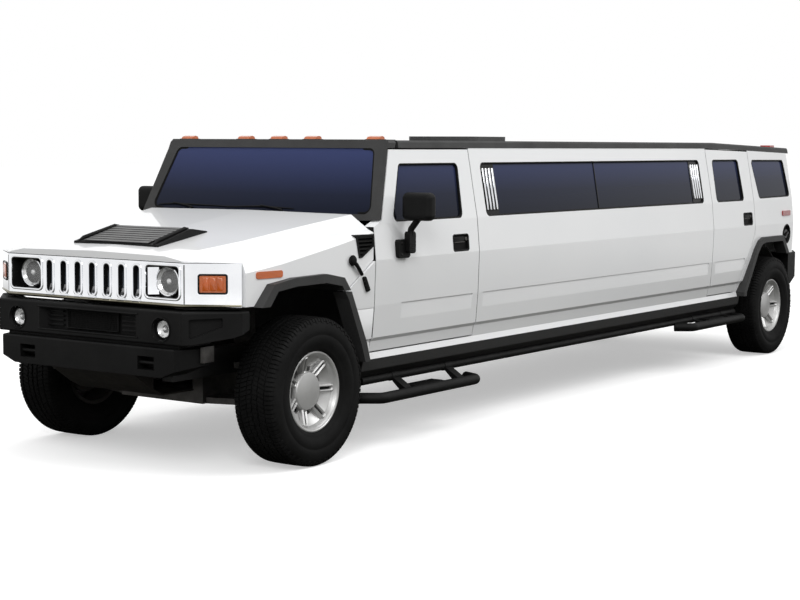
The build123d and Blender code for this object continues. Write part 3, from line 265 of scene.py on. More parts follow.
# darker brownish chrome: a painted reflection of the dark ground, for the nose's bottom roll
GROUND_REFLECTION_CHROME = chrome("chrome_painted_ground_reflection", (0.13, 0.12, 0.085), (0.26, 0.245, 0.19), 0.06)
REFLECTOR = chrome("lamp_reflector", (0.86, 0.87, 0.88), (0.93, 0.93, 0.93), 0.1, 0.6)
MIRROR = chrome("mirror_glass", (0.60, 0.64, 0.68), (0.66, 0.70, 0.74), 0.0)
LENS_GLASS = clear_glass()
GLOSSY_BLACK = textured_plastic("gloss_black", 0.006, 0.012, 0.2, 900, 0.05)
CHROME = chrome()
GLASS = dark_glass()
CLEAR = lens("clear_lens", (0.75, 0.77, 0.8))
AMBER = lens("amber_lens", (0.62, 0.13, 0.010), 0.12)
RED = lens("red_lens", (0.42, 0.014, 0.012), 0.03)
RUBBER = tyre_rubber()
ALLOY = silver_alloy()
CHASSIS = rough_metal("chassis_black", 0.006, 0.018, 0.0, 0.55)
STEEL = rough_metal("cast_steel", (0.05, 0.047, 0.045), (0.12, 0.115, 0.11), 0.7, 0.5)
SKID = rough_metal("skid_steel", (0.006, 0.005, 0.0045), (0.024, 0.020, 0.017), 0.2, 0.6)
# dark metal with brake dust for the disc and caliper; on the wheel's inner barrel the same dark tone is painted
# shade
BRAKE_DUST_AND_SHADE = rough_metal("brake_dust_and_shade", (0.020, 0.018, 0.016), (0.05, 0.046, 0.042), 0.4, 0.6)
LEATHER = black_leather()
INTERIOR = textured_plastic("interior_plastic", 0.02, 0.035, 0.6, 500, 0.4)

SLOT_MATERIALS = {"body_paint": PAINT, "black_plastic": PLASTIC, "chrome": CHROME, "tinted_glass": GLASS,
                  "clear_lens": CLEAR, "amber_lens": AMBER, "red_lens": RED, "tyre": RUBBER, "alloy": ALLOY,
                  "chassis_steel": CHASSIS, "bare_steel": STEEL, "skid_steel": SKID, "leather": LEATHER,
                  "interior_plastic": INTERIOR, }
NODE_MATERIALS = {name: GREY_PLASTIC for name in ("front_flares", "roof_trim", "windshield_frame")}
# the rocker moulding, painted black below its edge as the shade in the hollow under it
NODE_MATERIALS["side_cladding"] = ROCKER_PAINTED_SHADE
for part in record["subparts"]:
    for slot in nodes[part["node"]].material_slots:
        slot.material = NODE_MATERIALS.get(part["node"], SLOT_MATERIALS[part["material_slot"]])


# Modelling help: shapes are made in millimetres and stand in metres once they are pieces

FRONT_MM, REAR_MM = FRONT_AXLE * 1000, REAR_AXLE * 1000
SECTION = [  # height, half width of the body's side
    (600, 950), (672, 962), (694, 980), (890, 996), (1166, 1005), (1385, 985), (1840, 903)]
SLOT_OF = {material.name: slot for slot, material in SLOT_MATERIALS.items()}
SLOT_OF.update({"gloss_black": "black_plastic", "grey_plastic": "black_plastic", "slot_back_painted_reflection": "chrome",
                "lamp_reflector": "chrome", "mirror_glass": "chrome", "lamp_glass": "clear_lens",
                "chrome_painted_ground_reflection": "chrome", "vent_plastic": "black_plastic", "brake_dust_and_shade": "bare_steel",
                "rocker_plastic_painted_shade": "black_plastic", "cut_glass": "tinted_glass"})


def side_x(z):
    for (z0, x0), (z1, x1) in zip(SECTION, SECTION[1:]):
        if z <= z1:
            return x0 + (x1 - x0) * (z - z0) / (z1 - z0)
    return SECTION[-1][1]


def rounded(points, radius, steps=4):
    """A closed outline with its corners rounded."""
    out = []
    for i, here in enumerate(points):
        a, b, c = Vector(points[i - 1]), Vector(here), Vector(points[(i + 1) % len(points)])
        u, v = (a - b).normalized(), (c - b).normalized()
        half = u.angle(v) / 2
        reach = min(radius / math.tan(half), 0.48 * min((a - b).length, (c - b).length))
        centre = b + (u + v).normalized() * (reach / math.cos(half))
        start, end = b + u * reach - centre, b + v * reach - centre
        turn = start.angle_signed(end)
        for k in range(steps + 1):
            angle = -turn * k / steps
            out.append((centre.x + start.x * math.cos(angle) - start.y * math.sin(angle),
                        centre.y + start.x * math.sin(angle) + start.y * math.cos(angle)))
    return out


def inset(points, distance):
    """A closed outline with each side moved inward."""
    count = len(points)
    area = sum(points[i - 1][0] * points[i][1] - points[i][0] * points[i - 1][1] for i in range(count))
    sign = 1 if area > 0 else -1
    out = []
    for i in range(count):
        a, b, c = Vector(points[i - 1]), Vector(points[i]), Vector(points[(i + 1) % count])
        u, v = (b - a).normalized(), (c - b).normalized()
        nu, nv = Vector((-u.y, u.x)) * sign, Vector((-v.y, v.x)) * sign
        out.append(tuple(b + (nu + nv) * (distance / (1 + nu.dot(nv)))))
    return out


def rectangle(x, z, width, height):
    return [(x - width / 2, z - height / 2), (x + width / 2, z - height / 2), (x + width / 2, z + height / 2),
            (x - width / 2, z + height / 2)]


def on_side(y, z, out):
    """A point of the left side, given in (y, z), and this far out of it."""
    return (side_x(z) + out, y, z)


def facing_front(y0):
    """Places (x, z) on an upright plane that faces forward."""
    return lambda x, z, out: (x, y0 - out, z)


def facing_rear(y0):
    return lambda x, z, out: (x, y0 + out, z)


class Shape:
    """A mesh in millimetres that is filled part by part."""

    def __init__(self):
        self.bm = bmesh.new()

    def loops(self, rings, closed=False, caps=True):
        """Skins a row of equal rings of points; closed joins the last to the first."""
        rows = [[self.bm.verts.new(p) for p in ring] for ring in rings]
        pairs = list(zip(rows, rows[1:])) + ([(rows[-1], rows[0])] if closed else [])
        for ring, after in pairs:
            for i in range(len(ring)):
                j = (i + 1) % len(ring)
                self.bm.faces.new((ring[i], ring[j], after[j], after[i]))
        if caps and not closed:
            self.bm.faces.new(reversed(rows[0]))
            self.bm.faces.new(rows[-1])
        return self

    def plate(self, outline, place, low, high, bevel=0):
        """A plate with this outline between two distances out of a surface."""
        rings = [[place(u, v, low) for u, v in outline], [place(u, v, high - bevel) for u, v in outline]]
        if bevel:
            rings.append([place(u, v, high - bevel * 0.3) for u, v in inset(outline, bevel * 0.3)])
            rings.append([place(u, v, high) for u, v in inset(outline, bevel)])
        return self.loops(rings)

    def band(self, outer, inner, place, low, high):
        """A closed band between two outlines, between two distances out of a surface."""
        middle = [tuple((a + b) / 2 for a, b in zip(p, q)) for p, q in zip(outer, inner)]
        top = high - (high - low) * 0.25
        return self.loops([[place(u, v, low) for u, v in outer], [place(u, v, top) for u, v in outer],
                           [place(u, v, high) for u, v in middle], [place(u, v, top) for u, v in inner],
                           [place(u, v, low) for u, v in inner]], closed=True)

    def box(self, x0, x1, y0, y1, z0, z1, bevel=2.0, matrix=None):
        made = bmesh.ops.create_cube(self.bm, size=1)
        scale = Matrix.Diagonal((x1 - x0, y1 - y0, z1 - z0, 1))
        place = Matrix.Translation(((x0 + x1) / 2, (y0 + y1) / 2, (z0 + z1) / 2))
        bmesh.ops.transform(self.bm, matrix=(matrix or Matrix()) @ place @ scale, verts=made["verts"])
        if bevel:
            edges = list({edge for vert in made["verts"] for edge in vert.link_edges})
            bmesh.ops.bevel(self.bm, geom=edges, offset=bevel, segments=2, profile=0.5, affect="EDGES",
                            clamp_overlap=True)
        return self

    def tube(self, path, radius, sides=12):
        """A round tube along points; the radius may be one number or one for each point."""
        path = [Vector(p) for p in path]
        side, rings = None, []
        for i, here in enumerate(path):
            ahead = (path[min(i + 1, len(path) - 1)] - path[max(i - 1, 0)]).normalized()
            side = ahead.orthogonal() if side is None else side
            side = (side - ahead * side.dot(ahead)).normalized()
            up = ahead.cross(side)
            r = radius[i] if isinstance(radius, (list, tuple)) else radius
            rings.append([here + (side * math.cos(a) + up * math.sin(a)) * r
                          for a in (2 * math.pi * k / sides for k in range(sides))])
        return self.loops(rings)

    def lathe(self, profile, matrix=None, steps=64, arc=None, closed=True):
        """Turns a profile of (radius, along Z) round Z, right round or over an arc in degrees."""
        matrix = matrix or Matrix()
        first, last = arc or (0, 360)
        count = steps if arc is None else steps + 1
        angles = [math.radians(first + (last - first) * k / steps) for k in range(count)]
        if arc is None:
            rings = [[matrix @ Vector((r * math.cos(a), r * math.sin(a), w)) for a in angles]
                     for r, w in profile]
            return self.loops(rings, closed=closed, caps=True)
        rings = [[matrix @ Vector((r * math.cos(a), r * math.sin(a), w)) for r, w in profile] for a in angles]
        return self.loops(rings)

    def mirror(self):
        """Adds the same on the other side of the car."""
        made = bmesh.ops.duplicate(self.bm, geom=self.bm.verts[:] + self.bm.edges[:] + self.bm.faces[:])
        verts = [v for v in made["geom"] if isinstance(v, bmesh.types.BMVert)]
        faces = [f for f in made["geom"] if isinstance(f, bmesh.types.BMFace)]
        bmesh.ops.transform(self.bm, matrix=Matrix.Diagonal((-1, 1, 1, 1)), verts=verts)
        bmesh.ops.reverse_faces(self.bm, faces=faces)
        return self

    def mesh(self, name, material, sharp=32):
        bmesh.ops.recalc_face_normals(self.bm, faces=self.bm.faces)
        mesh = bpy.data.meshes.new(name)
        self.bm.to_mesh(mesh)
        self.bm.free()
        mesh.transform(Matrix.Scale(0.001, 4))
        mesh.materials.append(material)
        mesh.shade_smooth()
        mesh.set_sharp_from_angle(angle=math.radians(sharp))
        return mesh


def add(name, mesh, body, at=(0, 0, 0), turn=0.0):
    """One piece from a mesh, riding on a body."""
    piece = bpy.data.objects.new(name, mesh)
    bpy.context.scene.collection.objects.link(piece)
    piece.location = at
    piece.rotation_euler = (0, 0, turn)
    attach(piece, body)
    return piece


def piece(name, shape, material, body, sharp=32):
    return add(name, shape.mesh(name, material, sharp), body)


def pair(name, shape, material, body, sharp=32):
    """A piece that also stands mirrored on the other side of the car."""
    return piece(name, shape.mirror(), material, body, sharp)


def placed(x, y, z, turn):
    return Matrix.Translation((x, y, z)) @ turn


ALONG_X = Matrix.Rotation(math.radians(90), 4, "Y")
ALONG_Y = Matrix.Rotation(math.radians(-90), 4, "X")
TO_FRONT = Matrix.Rotation(math.radians(90), 4, "X")
TO_REAR = TO_FRONT.inverted()


# Wheels

TYRE_R = 436
TREAD_PITCHES = 52
TREAD_DEPTH = 12
TREAD_BLOCKS = (  # corners as share of a pitch, width and depth below the crown
    ((0, 4, 0), (0.42, 9, 0), (0.59, 33, 0), (0.15, 38, 0)),
    ((0.5, 9, 0), (0.92, 4, 0), (1.09, 38, 0), (0.67, 33, 0)),
    ((0.2, 46, 0), (0.62, 42, 0), (0.96, 82, 1), (0.52, 86, 1)),
    ((0.7, 42, 0), (1.1, 46, 0), (1.42, 86, 1), (1.04, 82, 1)))


def tyre_shape():
    """A tyre round X, its outer side at +X: carcass, tread rows and shoulder lugs."""
    shape = Shape()
    half = [(427, 0), (427, 88), (424, 112), (417, 128), (405, 139), (390, 145), (366, 149.5), (340, 149.5),
            (336, 147.5), (330, 147.5), (326, 149), (300, 148), (276, 140), (264, 133), (258, 131),
            (252, 129), (242, 120), (234, 108)]
    profile = half + [(r, -w) for r, w in reversed(half[1:])]
    shape.lathe(profile, ALONG_X, 104)
    pitch = 2 * math.pi / TREAD_PITCHES

    def block(corners, deep):
        """A tread block: its corners as (share of a pitch, width, radius), with a base below."""
        rings = []
        for sink, spread in ((deep, 1.06), (1.2, 1.0), (0, 0.94)):
            middle_a = sum(c[0] for c in corners) / len(corners)
            middle_w = sum(c[1] for c in corners) / len(corners)
            ring = []
            for share, w, r in corners:
                a = (middle_a + (share - middle_a) * spread) * pitch
                width = middle_w + (w - middle_w) * spread
                ring.append((width, (r - sink) * math.cos(a), (r - sink) * math.sin(a)))
            rings.append(ring)
        shape.loops(rings)

    for n in range(TREAD_PITCHES):
        for side in (-1, 1):
            shift = n + (0.5 if side > 0 else 0)
            for corners in TREAD_BLOCKS:
                block([(shift + share, side * w, TYRE_R - down) for share, w, down in corners], TREAD_DEPTH)
            # shoulder lugs, long and short in turn, wrapping down the shoulder
            for start, length, reach in ((0.56, 0.40, 401), (1.06, 0.40, 412)):
                a0, a1 = shift + start, shift + start + length
                edge = 126 + (TYRE_R - reach) * 0.42
                rings = []
                for w, r in ((94, TYRE_R - 1), (118, TYRE_R - 2.5), (130, TYRE_R - 8),
                             (edge, (TYRE_R - 12 + reach) / 2), (edge + 3, reach)):
                    base_w = w - (0 if w < 120 else 9)
                    base_r = r - (TREAD_DEPTH if w < 120 else 4)
                    ring = []
                    for a, spot_w, spot_r in ((a0 - 0.02, base_w, base_r), (a0 + 0.02, w, r),
                            (a1 - 0.02, w, r), (a1 + 0.02, base_w, base_r)):
                        ring.append((side * spot_w, spot_r * math.cos(a * pitch),
                                     spot_r * math.sin(a * pitch)))
                    rings.append(ring)
                shape.loops(rings)
    return shape


RIBS = 7


def dish_w(r):
    """How far out of the wheel's middle the dish lies at a radius."""
    table = [(88, 26), (104, 27), (118, 29), (140, 34), (168, 46), (192, 62), (206, 74)]
    for (r0, w0), (r1, w1) in zip(table, table[1:]):
        if r <= r1:
            return w0 + (w1 - w0) * (r - r0) / (r1 - r0)
    return table[-1][1]


def rim_shapes():
    """The alloy wheel round X, and black plates on the floors of its rib slots as painted shade."""
    shape, dark = Shape(), Shape()
    shape.lathe([(233, 56), (233, 98), (237, 105), (237.5, 110), (233, 114), (227, 114), (222, 111),
                 (220, 104), (217, 101), (213, 96), (211, 88), (206, 80), (200, 60), (200, 56)], ALONG_X, 112)
    steps, thick = 16, 16
    radii = [88, 104, 114, 124, 134, 146, 152, 168, 180, 192, 206]
    holes = {(i, k) for i in (2, 3, 4) for k in range(4, 12)} | {(i, k) for i in (2, 3) for k in (4, 11)}
    holes -= {(4, 4), (4, 11)}
    count = RIBS * steps
    vert = {}

    def corner(i, j, low):
        key = (i, j % count, low)
        if key not in vert:
            a = 2 * math.pi * j / count
            r = radii[i]
            vert[key] = shape.bm.verts.new((dish_w(r) - (thick if low else 0), r * math.cos(a),
                                            r * math.sin(a)))
        return vert[key]

    def solid(i, j):
        return 0 <= i < len(radii) - 1 and (i, j % steps) not in holes

    for i in range(len(radii) - 1):
        for j in range(count):
            if not solid(i, j):
                continue
            for low in (False, True):
                shape.bm.faces.new((corner(i, j, low), corner(i + 1, j, low), corner(i + 1, j + 1, low),
                                    corner(i, j + 1, low)))
            for di, dj, p, q in ((-1, 0, (i, j), (i, j + 1)), (1, 0, (i + 1, j), (i + 1, j + 1)),
                                 (0, -1, (i, j), (i + 1, j)), (0, 1, (i, j + 1), (i + 1, j + 1))):
                if not solid(i + di, j + dj):
                    shape.bm.faces.new((corner(*p, False), corner(*q, False), corner(*q, True),
                                        corner(*p, True)))
    outer = rounded([(100, -22), (209, -21), (209, 21), (100, 22)], 13, 4)
    inner = rounded([(118, -9), (196, -8), (196, 8), (118, 9)], 7, 4)
    for n in range(RIBS):
        a = 2 * math.pi * n / RIBS

        def on_dish(r, t, out):
            top = 58 + (r - 104) * (92 - 58) / 100
            base = dish_w(min(max(r, 88), 206)) - 3
            w = base + (top - base) * out
            return (w, r * math.cos(a) - t * math.sin(a), r * math.sin(a) + t * math.cos(a))

        shape.band(outer, inner, on_dish, 0, 1)
        # a black plate on the slot's floor: painted shade
        dark.plate(inset(inner, -1), on_dish, 0.05, 0.3)
    shape.lathe([(0, 30), (0, 69), (100, 67.5), (107, 65.5), (111, 61), (113, 55), (116, 46), (116, 34)],
                ALONG_X, 96, closed=False)
    shape.lathe([(56, -28), (56, 30), (104, 30), (92, -28)], ALONG_X, 64)
    return shape, dark


def inner_barrel_and_disc_shape():
    """The wheel's inner barrel, darkened as painted shade, and a vented disc inside it."""
    shape = Shape()
    shape.lathe([(233, -108), (233, 56), (200, 56), (203, 20), (203, -96), (212, -108)], ALONG_X, 96)
    shape.lathe([(92, -33), (92, -12), (158, -12), (158, -20), (150, -20), (150, -26), (158, -26),
                 (158, -33)], ALONG_X, 72)
    return shape


def caliper_shape():
    shape = Shape()
    shape.lathe([(104, 5), (178, 5), (178, -58), (104, -58), (104, -37), (165, -37), (165, -8), (104, -8)],
                ALONG_X, 12, arc=(55, 125))
    return shape


tyre_mesh = tyre_shape().mesh("tyre", RUBBER, 28)
rim_shape, slot_shade_shape = rim_shapes()
rim_mesh, slot_shade_mesh = rim_shape.mesh("rim", ALLOY, 30), slot_shade_shape.mesh("rim_slot_painted_shade", GLOSSY_BLACK)
inner_barrel_and_disc_mesh = inner_barrel_and_disc_shape().mesh("barrel_shade_and_disc", BRAKE_DUST_AND_SHADE)
caliper_mesh = caliper_shape().mesh("brake_caliper", BRAKE_DUST_AND_SHADE)
for end, y in (("front", FRONT_AXLE), ("rear", REAR_AXLE)):
    for side_name, side in (("left", 1), ("right", -1)):
        wheel = f"{end}_{side_name}_wheel"
        at, turn = (side * WHEEL_X, y, WHEEL_Z), 0 if side > 0 else math.pi
        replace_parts(add(f"{end}_{side_name}_tyre_tread", tyre_mesh, wheel, at, turn),
                    f"{end}_{side_name}_tyre")
        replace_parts(add(f"{end}_{side_name}_rim_spokes", rim_mesh, wheel, at, turn), f"{end}_{side_name}_rim")
        add(f"{end}_{side_name}_rim_slot_floors", slot_shade_mesh, wheel, at, turn)
        add(f"{end}_{side_name}_barrel_shade_and_disc", inner_barrel_and_disc_mesh, wheel, at, turn)
        holder = f"{side_name}_knuckle" if end == "front" else "root"
        add(f"{end}_{side_name}_caliper", caliper_mesh, holder, at, turn)


# Nose: its pieces ride on the hood and tilt with it; the fog lamps below ride on the root

NOSE = FRONT_MM - 786
NOSE_HALF = 690
SLOTS, SLOT_PITCH, SLOT_WIDTH = 7, 115, 52
SLOT_FOOT, SLOT_HEAD = 1000, 1183
CAP_LAMP = (825 - NOSE_HALF, 1096)
HEADLAMP, HEADLAMP_R = (541, 1100), 80
FOG_LAMP, FOG_LAMP_R = (570, 842), 50
CAP_RUN = Vector((265, 186)).normalized()
BUMPER_FACE = FRONT_MM - 835


def on_cap(u, z, out):
    """A point of the left end cap: u runs from the nose's corner outward, out is square to the cap."""
    return (NOSE_HALF + u * CAP_RUN.x + out * CAP_RUN.y, NOSE + u * CAP_RUN.y - out * CAP_RUN.x, z)


def slot_loops(x, z0, z1, width, grow, steps=6):
    return rounded(rectangle(x, (z0 + z1) / 2, width + 2 * grow, z1 - z0 + 2 * grow), width / 2 + grow - 0.5,
                   steps)


def nose_pieces():
    walls, backs, borders, curls = Shape(), Shape(), Shape(), Shape()
    face = facing_front(NOSE)
    for n in range(SLOTS):
        x = (n - 3) * SLOT_PITCH
        edge = slot_loops(x, SLOT_FOOT, SLOT_HEAD, SLOT_WIDTH, -0.6)
        inner = slot_loops(x, SLOT_FOOT, SLOT_HEAD, SLOT_WIDTH, -3.2)
        # black liners on the slot walls: painted shade inside the slots
        walls.band(edge, inner, face, -60, -2)
        backs.plate(slot_loops(x, SLOT_FOOT, SLOT_HEAD, SLOT_WIDTH, -2), face, -60, -33, 2)
        borders.band(slot_loops(x, SLOT_FOOT - 4, SLOT_HEAD + 3, SLOT_WIDTH, 11),
                     slot_loops(x, SLOT_FOOT, SLOT_HEAD, SLOT_WIDTH, -2), face, -3, 5)
        scoop = [(1046, -31), (1030, -25), (1014, -14), (1004, -5), (996, 3), (988, 9), (981, 9), (977, 4)]
        curls.loops([[face(x + 25.5 * side, z, out + 4 * side * side - 1)
                      for z, out in scoop] + [face(x + 25.5 * side, 984, -3),
                face(x + 25.5 * side, 1006, -22), face(x + 25.5 * side, 1040, -34)]
                for side in (-1, -0.7, -0.35, 0, 0.35, 0.7, 1)])
    piece("slot_wall_shade_liners", walls, GLOSSY_BLACK, "hood")
    # the slot backs carry a painted reflection, brighter and bluish towards the foot, and painted shade above
    piece("slot_backs", backs, SLOT_BACK_REFLECTION, "hood")
    piece("slot_borders", borders, CHROME, "hood", 50)
    piece("slot_curls", curls, CHROME, "hood", 60)

    # the bottom roll is darkened chrome, a painted reflection of the dark ground below it
    roll = Shape()
    foot = [(-953, NOSE + 188, 976), (-690, NOSE + 3, 974), (690, NOSE + 3, 974), (953, NOSE + 188, 976)]
    roll.tube(foot, [7, 11, 11, 7], 16)
    piece("nose_foot_roll", roll, GROUND_REFLECTION_CHROME, "hood", 60)

    seam = Shape()
    seam.tube([(-951, NOSE + 186, 1211), (-690, NOSE - 1, 1211), (690, NOSE - 1, 1211),
               (951, NOSE + 186, 1211)], 2.2, 6)
    piece("nose_top_seam", seam, PLASTIC, "hood")
    joints = Shape()
    for u in (6, 10):
        joints.tube([on_cap(u, 985, 0.4), on_cap(u, 1200, 0.4)], 1.6, 6)
    pair("cap_joints", joints, PLASTIC, "hood")

    box, bright, rim = Shape(), Shape(), Shape()
    outline = rounded(rectangle(540, 1100, 252, 180), 26, 5)
    box.band(inset(outline, 0.6), inset(outline, 4), face, -60, -1)
    box.plate(inset(outline, 2), face, -61, -57, 1)
    rim.band(inset(outline, -11), inset(outline, 2), face, -3, 5.5)
    # the bright, slanted inner wall of the well
    bright.loops([[(x, NOSE + d, z) for x, d in ((420, 12), (432, 22), (447, 38), (463, 56), (420, 56))]
                  for z in (1024, 1176)])
    for shape, material, name in ((box, GLOSSY_BLACK, "lamp_boxes"), (bright, CHROME, "lamp_box_reflectors"),
                                  (rim, CHROME, "lamp_box_rims")):
        pair(name, shape, material, "hood", 50)

    edges = Shape()
    centre, lamp_z = CAP_LAMP[0] / CAP_RUN.x, CAP_LAMP[1]
    outer = rounded(rectangle(centre, lamp_z, 166, 113), 15, 4)
    edges.band(outer, inset(outer, 12), on_cap, -6, 6.5)
    pads = Shape()
    for n in (-1, 0, 1):
        pads.plate(rounded(rectangle(centre + n * 40, lamp_z, 36, 74), 6, 3), on_cap, 3, 7.5, 3)
    pair("signal_prisms", pads, AMBER, "hood", 50)
    pair("signal_rims", edges, GLOSSY_BLACK, "hood")


def round_lamp(x, z, y, radius, depth, rise):
    """A lamp that faces forward: faceted bowl, bulb shade and bezel, and its domed lens."""
    place = placed(x, y, z, TO_FRONT)
    bowl, lens_shape, ring = Shape(), Shape(), Shape()
    profile = [(6, -depth), (radius * 0.45, -depth + 6), (radius * 0.75, -depth * 0.55), (radius - 3, -1),
               (radius, -1), (radius, -depth - 4), (6, -depth - 4)]
    bowl.lathe(profile, place, 22)
    bowl.lathe([(0, -depth), (radius * 0.2, -depth), (radius * 0.2, -depth * 0.25),
                (radius * 0.12, -depth * 0.12), (0, -depth * 0.08)], place, 18, closed=False)
    dome = [(radius * k / 7, rise * (1 - (k / 7) ** 2)) for k in range(8)]
    lens_shape.lathe([(max(r, 0.5), w) for r, w in dome] + [(max(r, 0.5), w - 3) for r, w in reversed(dome)],
                     place, 48)
    ring.lathe([(radius - 3, -4), (radius - 3, 2.5), (radius + 1, 5), (radius + 6, 3), (radius + 8, -4)],
               place, 48)
    return bowl, lens_shape, ring


def lamp_pair(name, body, node, x, z, y, radius, depth, rise, ring_material):
    for shape, part, material, sharp in zip(round_lamp(x, z, y, radius, depth, rise),
                                            ("bowls", "lenses", "rings"),
                                            (REFLECTOR, LENS_GLASS, ring_material), (15, 40, 40)):
        made = pair(f"{name}_{part}", shape, material, body, sharp)
        if part == "lenses":
            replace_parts(made, node)


nose_pieces()
lamp_pair("headlamp", "hood", "headlamps", *HEADLAMP, NOSE + 44, HEADLAMP_R, 30, 10, CHROME)
lamp_pair("fog_lamp", "root", "fog_lamps", *FOG_LAMP, BUMPER_FACE + 24, FOG_LAMP_R, 22, 9, PLASTIC)


# Front bumper

def bumper_pieces():
    face = facing_front(BUMPER_FACE)
    mesh_shape, seams, lips = Shape(), Shape(), Shape()
    for n in range(10):
        z = 802 + n * 11
        mesh_shape.tube([face(-196, z, -50), face(196, z, -50)], 1.7, 5)
    for n in range(33):
        x = -196 + n * 12.25
        mesh_shape.tube([face(x, 800, -48), face(x, 904, -48)], 1.7, 5)
    frame_loop = rounded(rectangle(0, 852, 412, 116), 10, 3)
    mesh_shape.band(frame_loop, inset(frame_loop, 8), face, -58, -42)
    piece("bumper_mesh", mesh_shape, PLASTIC, "root")
    for x in (-384, 384):
        seams.tube([face(x * 1.005, 795, 0), face(x * 1.005, 910, 0)], 1.5, 6)
    for x in (-716, 716):
        seams.tube([face(x, 772, 0.2), face(x, 940, 0.2)], 1.8, 6)
    piece("bumper_seams", seams, GLOSSY_BLACK, "root")
    for z, half in ((786, 396), (917, 396)):
        lips.tube([face(-half, z, 1), face(half, z, 1)], 5, 10)
    # the bars of the openings beside the mesh
    for x in (-300, 300):
        for n in range(4):
            lips.box(x - 66, x + 66, BUMPER_FACE + 46, BUMPER_FACE + 57, 806 + n * 26, 818 + n * 26, 2)
    piece("bumper_lips", lips, PLASTIC, "root")
    cups = Shape()
    for x in (-FOG_LAMP[0], FOG_LAMP[0]):
        cups.lathe([(70, -1), (72, 3.5), (66, 4.5), (58, -12), (60, -20), (66, -10)],
                   placed(x, BUMPER_FACE, FOG_LAMP[1], TO_FRONT), 48)
    piece("fog_lamp_cups", cups, PLASTIC, "root")
    brackets = Shape()
    brackets.box(756, 762, FRONT_MM - 700, FRONT_MM - 610, 655, 745, 2)
    brackets.box(742, 758, FRONT_MM - 706, FRONT_MM - 696, 655, 745, 2)
    pair("bumper_brackets", brackets, STEEL, "root")


bumper_pieces()


# Hood

def vent_pieces():
    """Glossy slats over the vent's openings, and a raised black fin on each side of them."""
    slats, fins = Shape(), Shape()
    y0, run = FRONT_MM - 600, 300 / 8
    slope = 78 / 300
    for n in range(8):
        low, high = y0 + run * (n + 0.10), y0 + run * (n + 0.86)
        z = 1290 + (low - y0) * slope
        slats.loops([[(x, low, z + 3), (x, high, z + 3 + run * 0.76 * slope),
                      (x, high, z + 6 + run * 0.76 * slope), (x, low, z + 7)] for x in (-256, 256)])
    for x in (-1, 1):
        fins.tube([(x * 300, y0 + 6, 1290), (x * 294, y0 + 40, 1308), (x * 280, y0 + 285, 1368),
                   (x * 276, y0 + 318, 1366)], [6, 12, 12, 7], 10)
    piece("vent_slats", slats, VENT, "hood", 20)
    piece("vent_fins", fins, PLASTIC, "hood", 60)


vent_pieces()


def latch_pieces():
    """The upper half of each hood latch: its knob and the strap on the fender."""
    knob, strap = Shape(), Shape()
    x = 992
    pivot = placed(x, FRONT_MM + 352, 1178, ALONG_X)
    knob.lathe([(0, 0), (24, 0), (26, 8), (24, 26), (14, 32), (0, 33)], pivot, 24, closed=False)
    knob.lathe([(26, 9), (32, 10), (32, 16), (26, 18)], pivot, 24)
    route = [(x + 14, FRONT_MM + 352, 1178), (x + 22, FRONT_MM + 380, 1150), (x + 20, FRONT_MM + 410, 1120),
             (x + 16, FRONT_MM + 440, 1090)]
    strap.tube(route, [10, 12, 12, 11], 10)
    for shape, name in ((knob, "latch_knobs"), (strap, "latch_straps")):
        pair(name, shape, RUBBER, "hood", 40)


latch_pieces()


# Sides: windows, handles and mirrors

DOORS = {"front": ("front_left_door", "front_right_door"), "rear": ("rear_left_door", "rear_right_door")}
HANDLE_Z = 1231
FRONT_WINDOW = [(787, 1390), (934, 1746), (1605, 1746), (1580, 1390)]
REAR_WINDOW = [(-1165, 1390), (-1155, 1746), (-625, 1746), (-600, 1390)]
QUARTER = [(-274, 1400), (-350, 1742), (375, 1738), (425, 1405)]
LONG = [(FRONT_MM + 1873, 1390), (FRONT_MM + 1873, 1746), (REAR_MM - 1414, 1746), (REAR_MM - 1414, 1390)]


def both_sides(name, build, material, bodies=("root", "root"), sharp=32):
    """A left piece and its mirror image on the right, each on its own body."""
    for side_name, body, flip in (("left", bodies[0], False), ("right", bodies[1], True)):
        shape = build()
        if flip:
            bmesh.ops.transform(shape.bm, matrix=Matrix.Diagonal((-1, 1, 1, 1)), verts=shape.bm.verts)
        piece(f"{name}_{side_name}", shape, material, body, sharp)


def shifted(outline, y):
    return [(u + y, z) for u, z in outline]


def rubber(outline):
    """The black seal in a window's opening: over the paint's edge and down to the glass."""
    def build():
        loop = rounded(outline, 38, 6)
        return Shape().band(inset(loop, -2.5), inset(loop, 11), on_side, -17, 1.6)
    return build


ON_ROOT = ("root", "root")
for window, outline, bodies in (("front", shifted(FRONT_WINDOW, FRONT_MM), DOORS["front"]),
                                ("rear", shifted(REAR_WINDOW, REAR_MM), DOORS["rear"]),
                                ("long", LONG, ON_ROOT), ("quarter", shifted(QUARTER, REAR_MM), ON_ROOT)):
    both_sides(f"{window}_window_rubber", rubber(outline), PLASTIC, bodies, 50)


def strip_back():
    """The black ends of the long window, behind the bright strips, and its middle bar."""
    shape = Shape()
    for start, way in ((LONG[0][0], 1), (LONG[2][0], -1)):
        y0, y1 = sorted((start + way * 9, start + way * 182))
        shape.plate([(y0, 1398), (y1, 1398), (y1, 1738), (y0, 1738)], on_side, -16.5, -12)
    bar = FRONT_MM + 3463
    shape.plate([(bar - 5, 1398), (bar + 5, 1398), (bar + 5, 1738), (bar - 5, 1738)], on_side, -16.5, -10, 2)
    return shape


def strips():
    shape = Shape()
    for start, way in ((LONG[0][0], 1), (LONG[2][0], -1)):
        for n in range(4):
            y = start + way * (34 + 40 * n)
            shape.plate(rounded([(y - 8, 1429), (y + 8, 1429), (y + 8, 1709), (y - 8, 1709)], 5, 3), on_side,
                        -13, 1, 5)
    return shape


both_sides("long_window_ends", strip_back, GLOSSY_BLACK)
both_sides("long_window_strips", strips, CHROME, sharp=50)


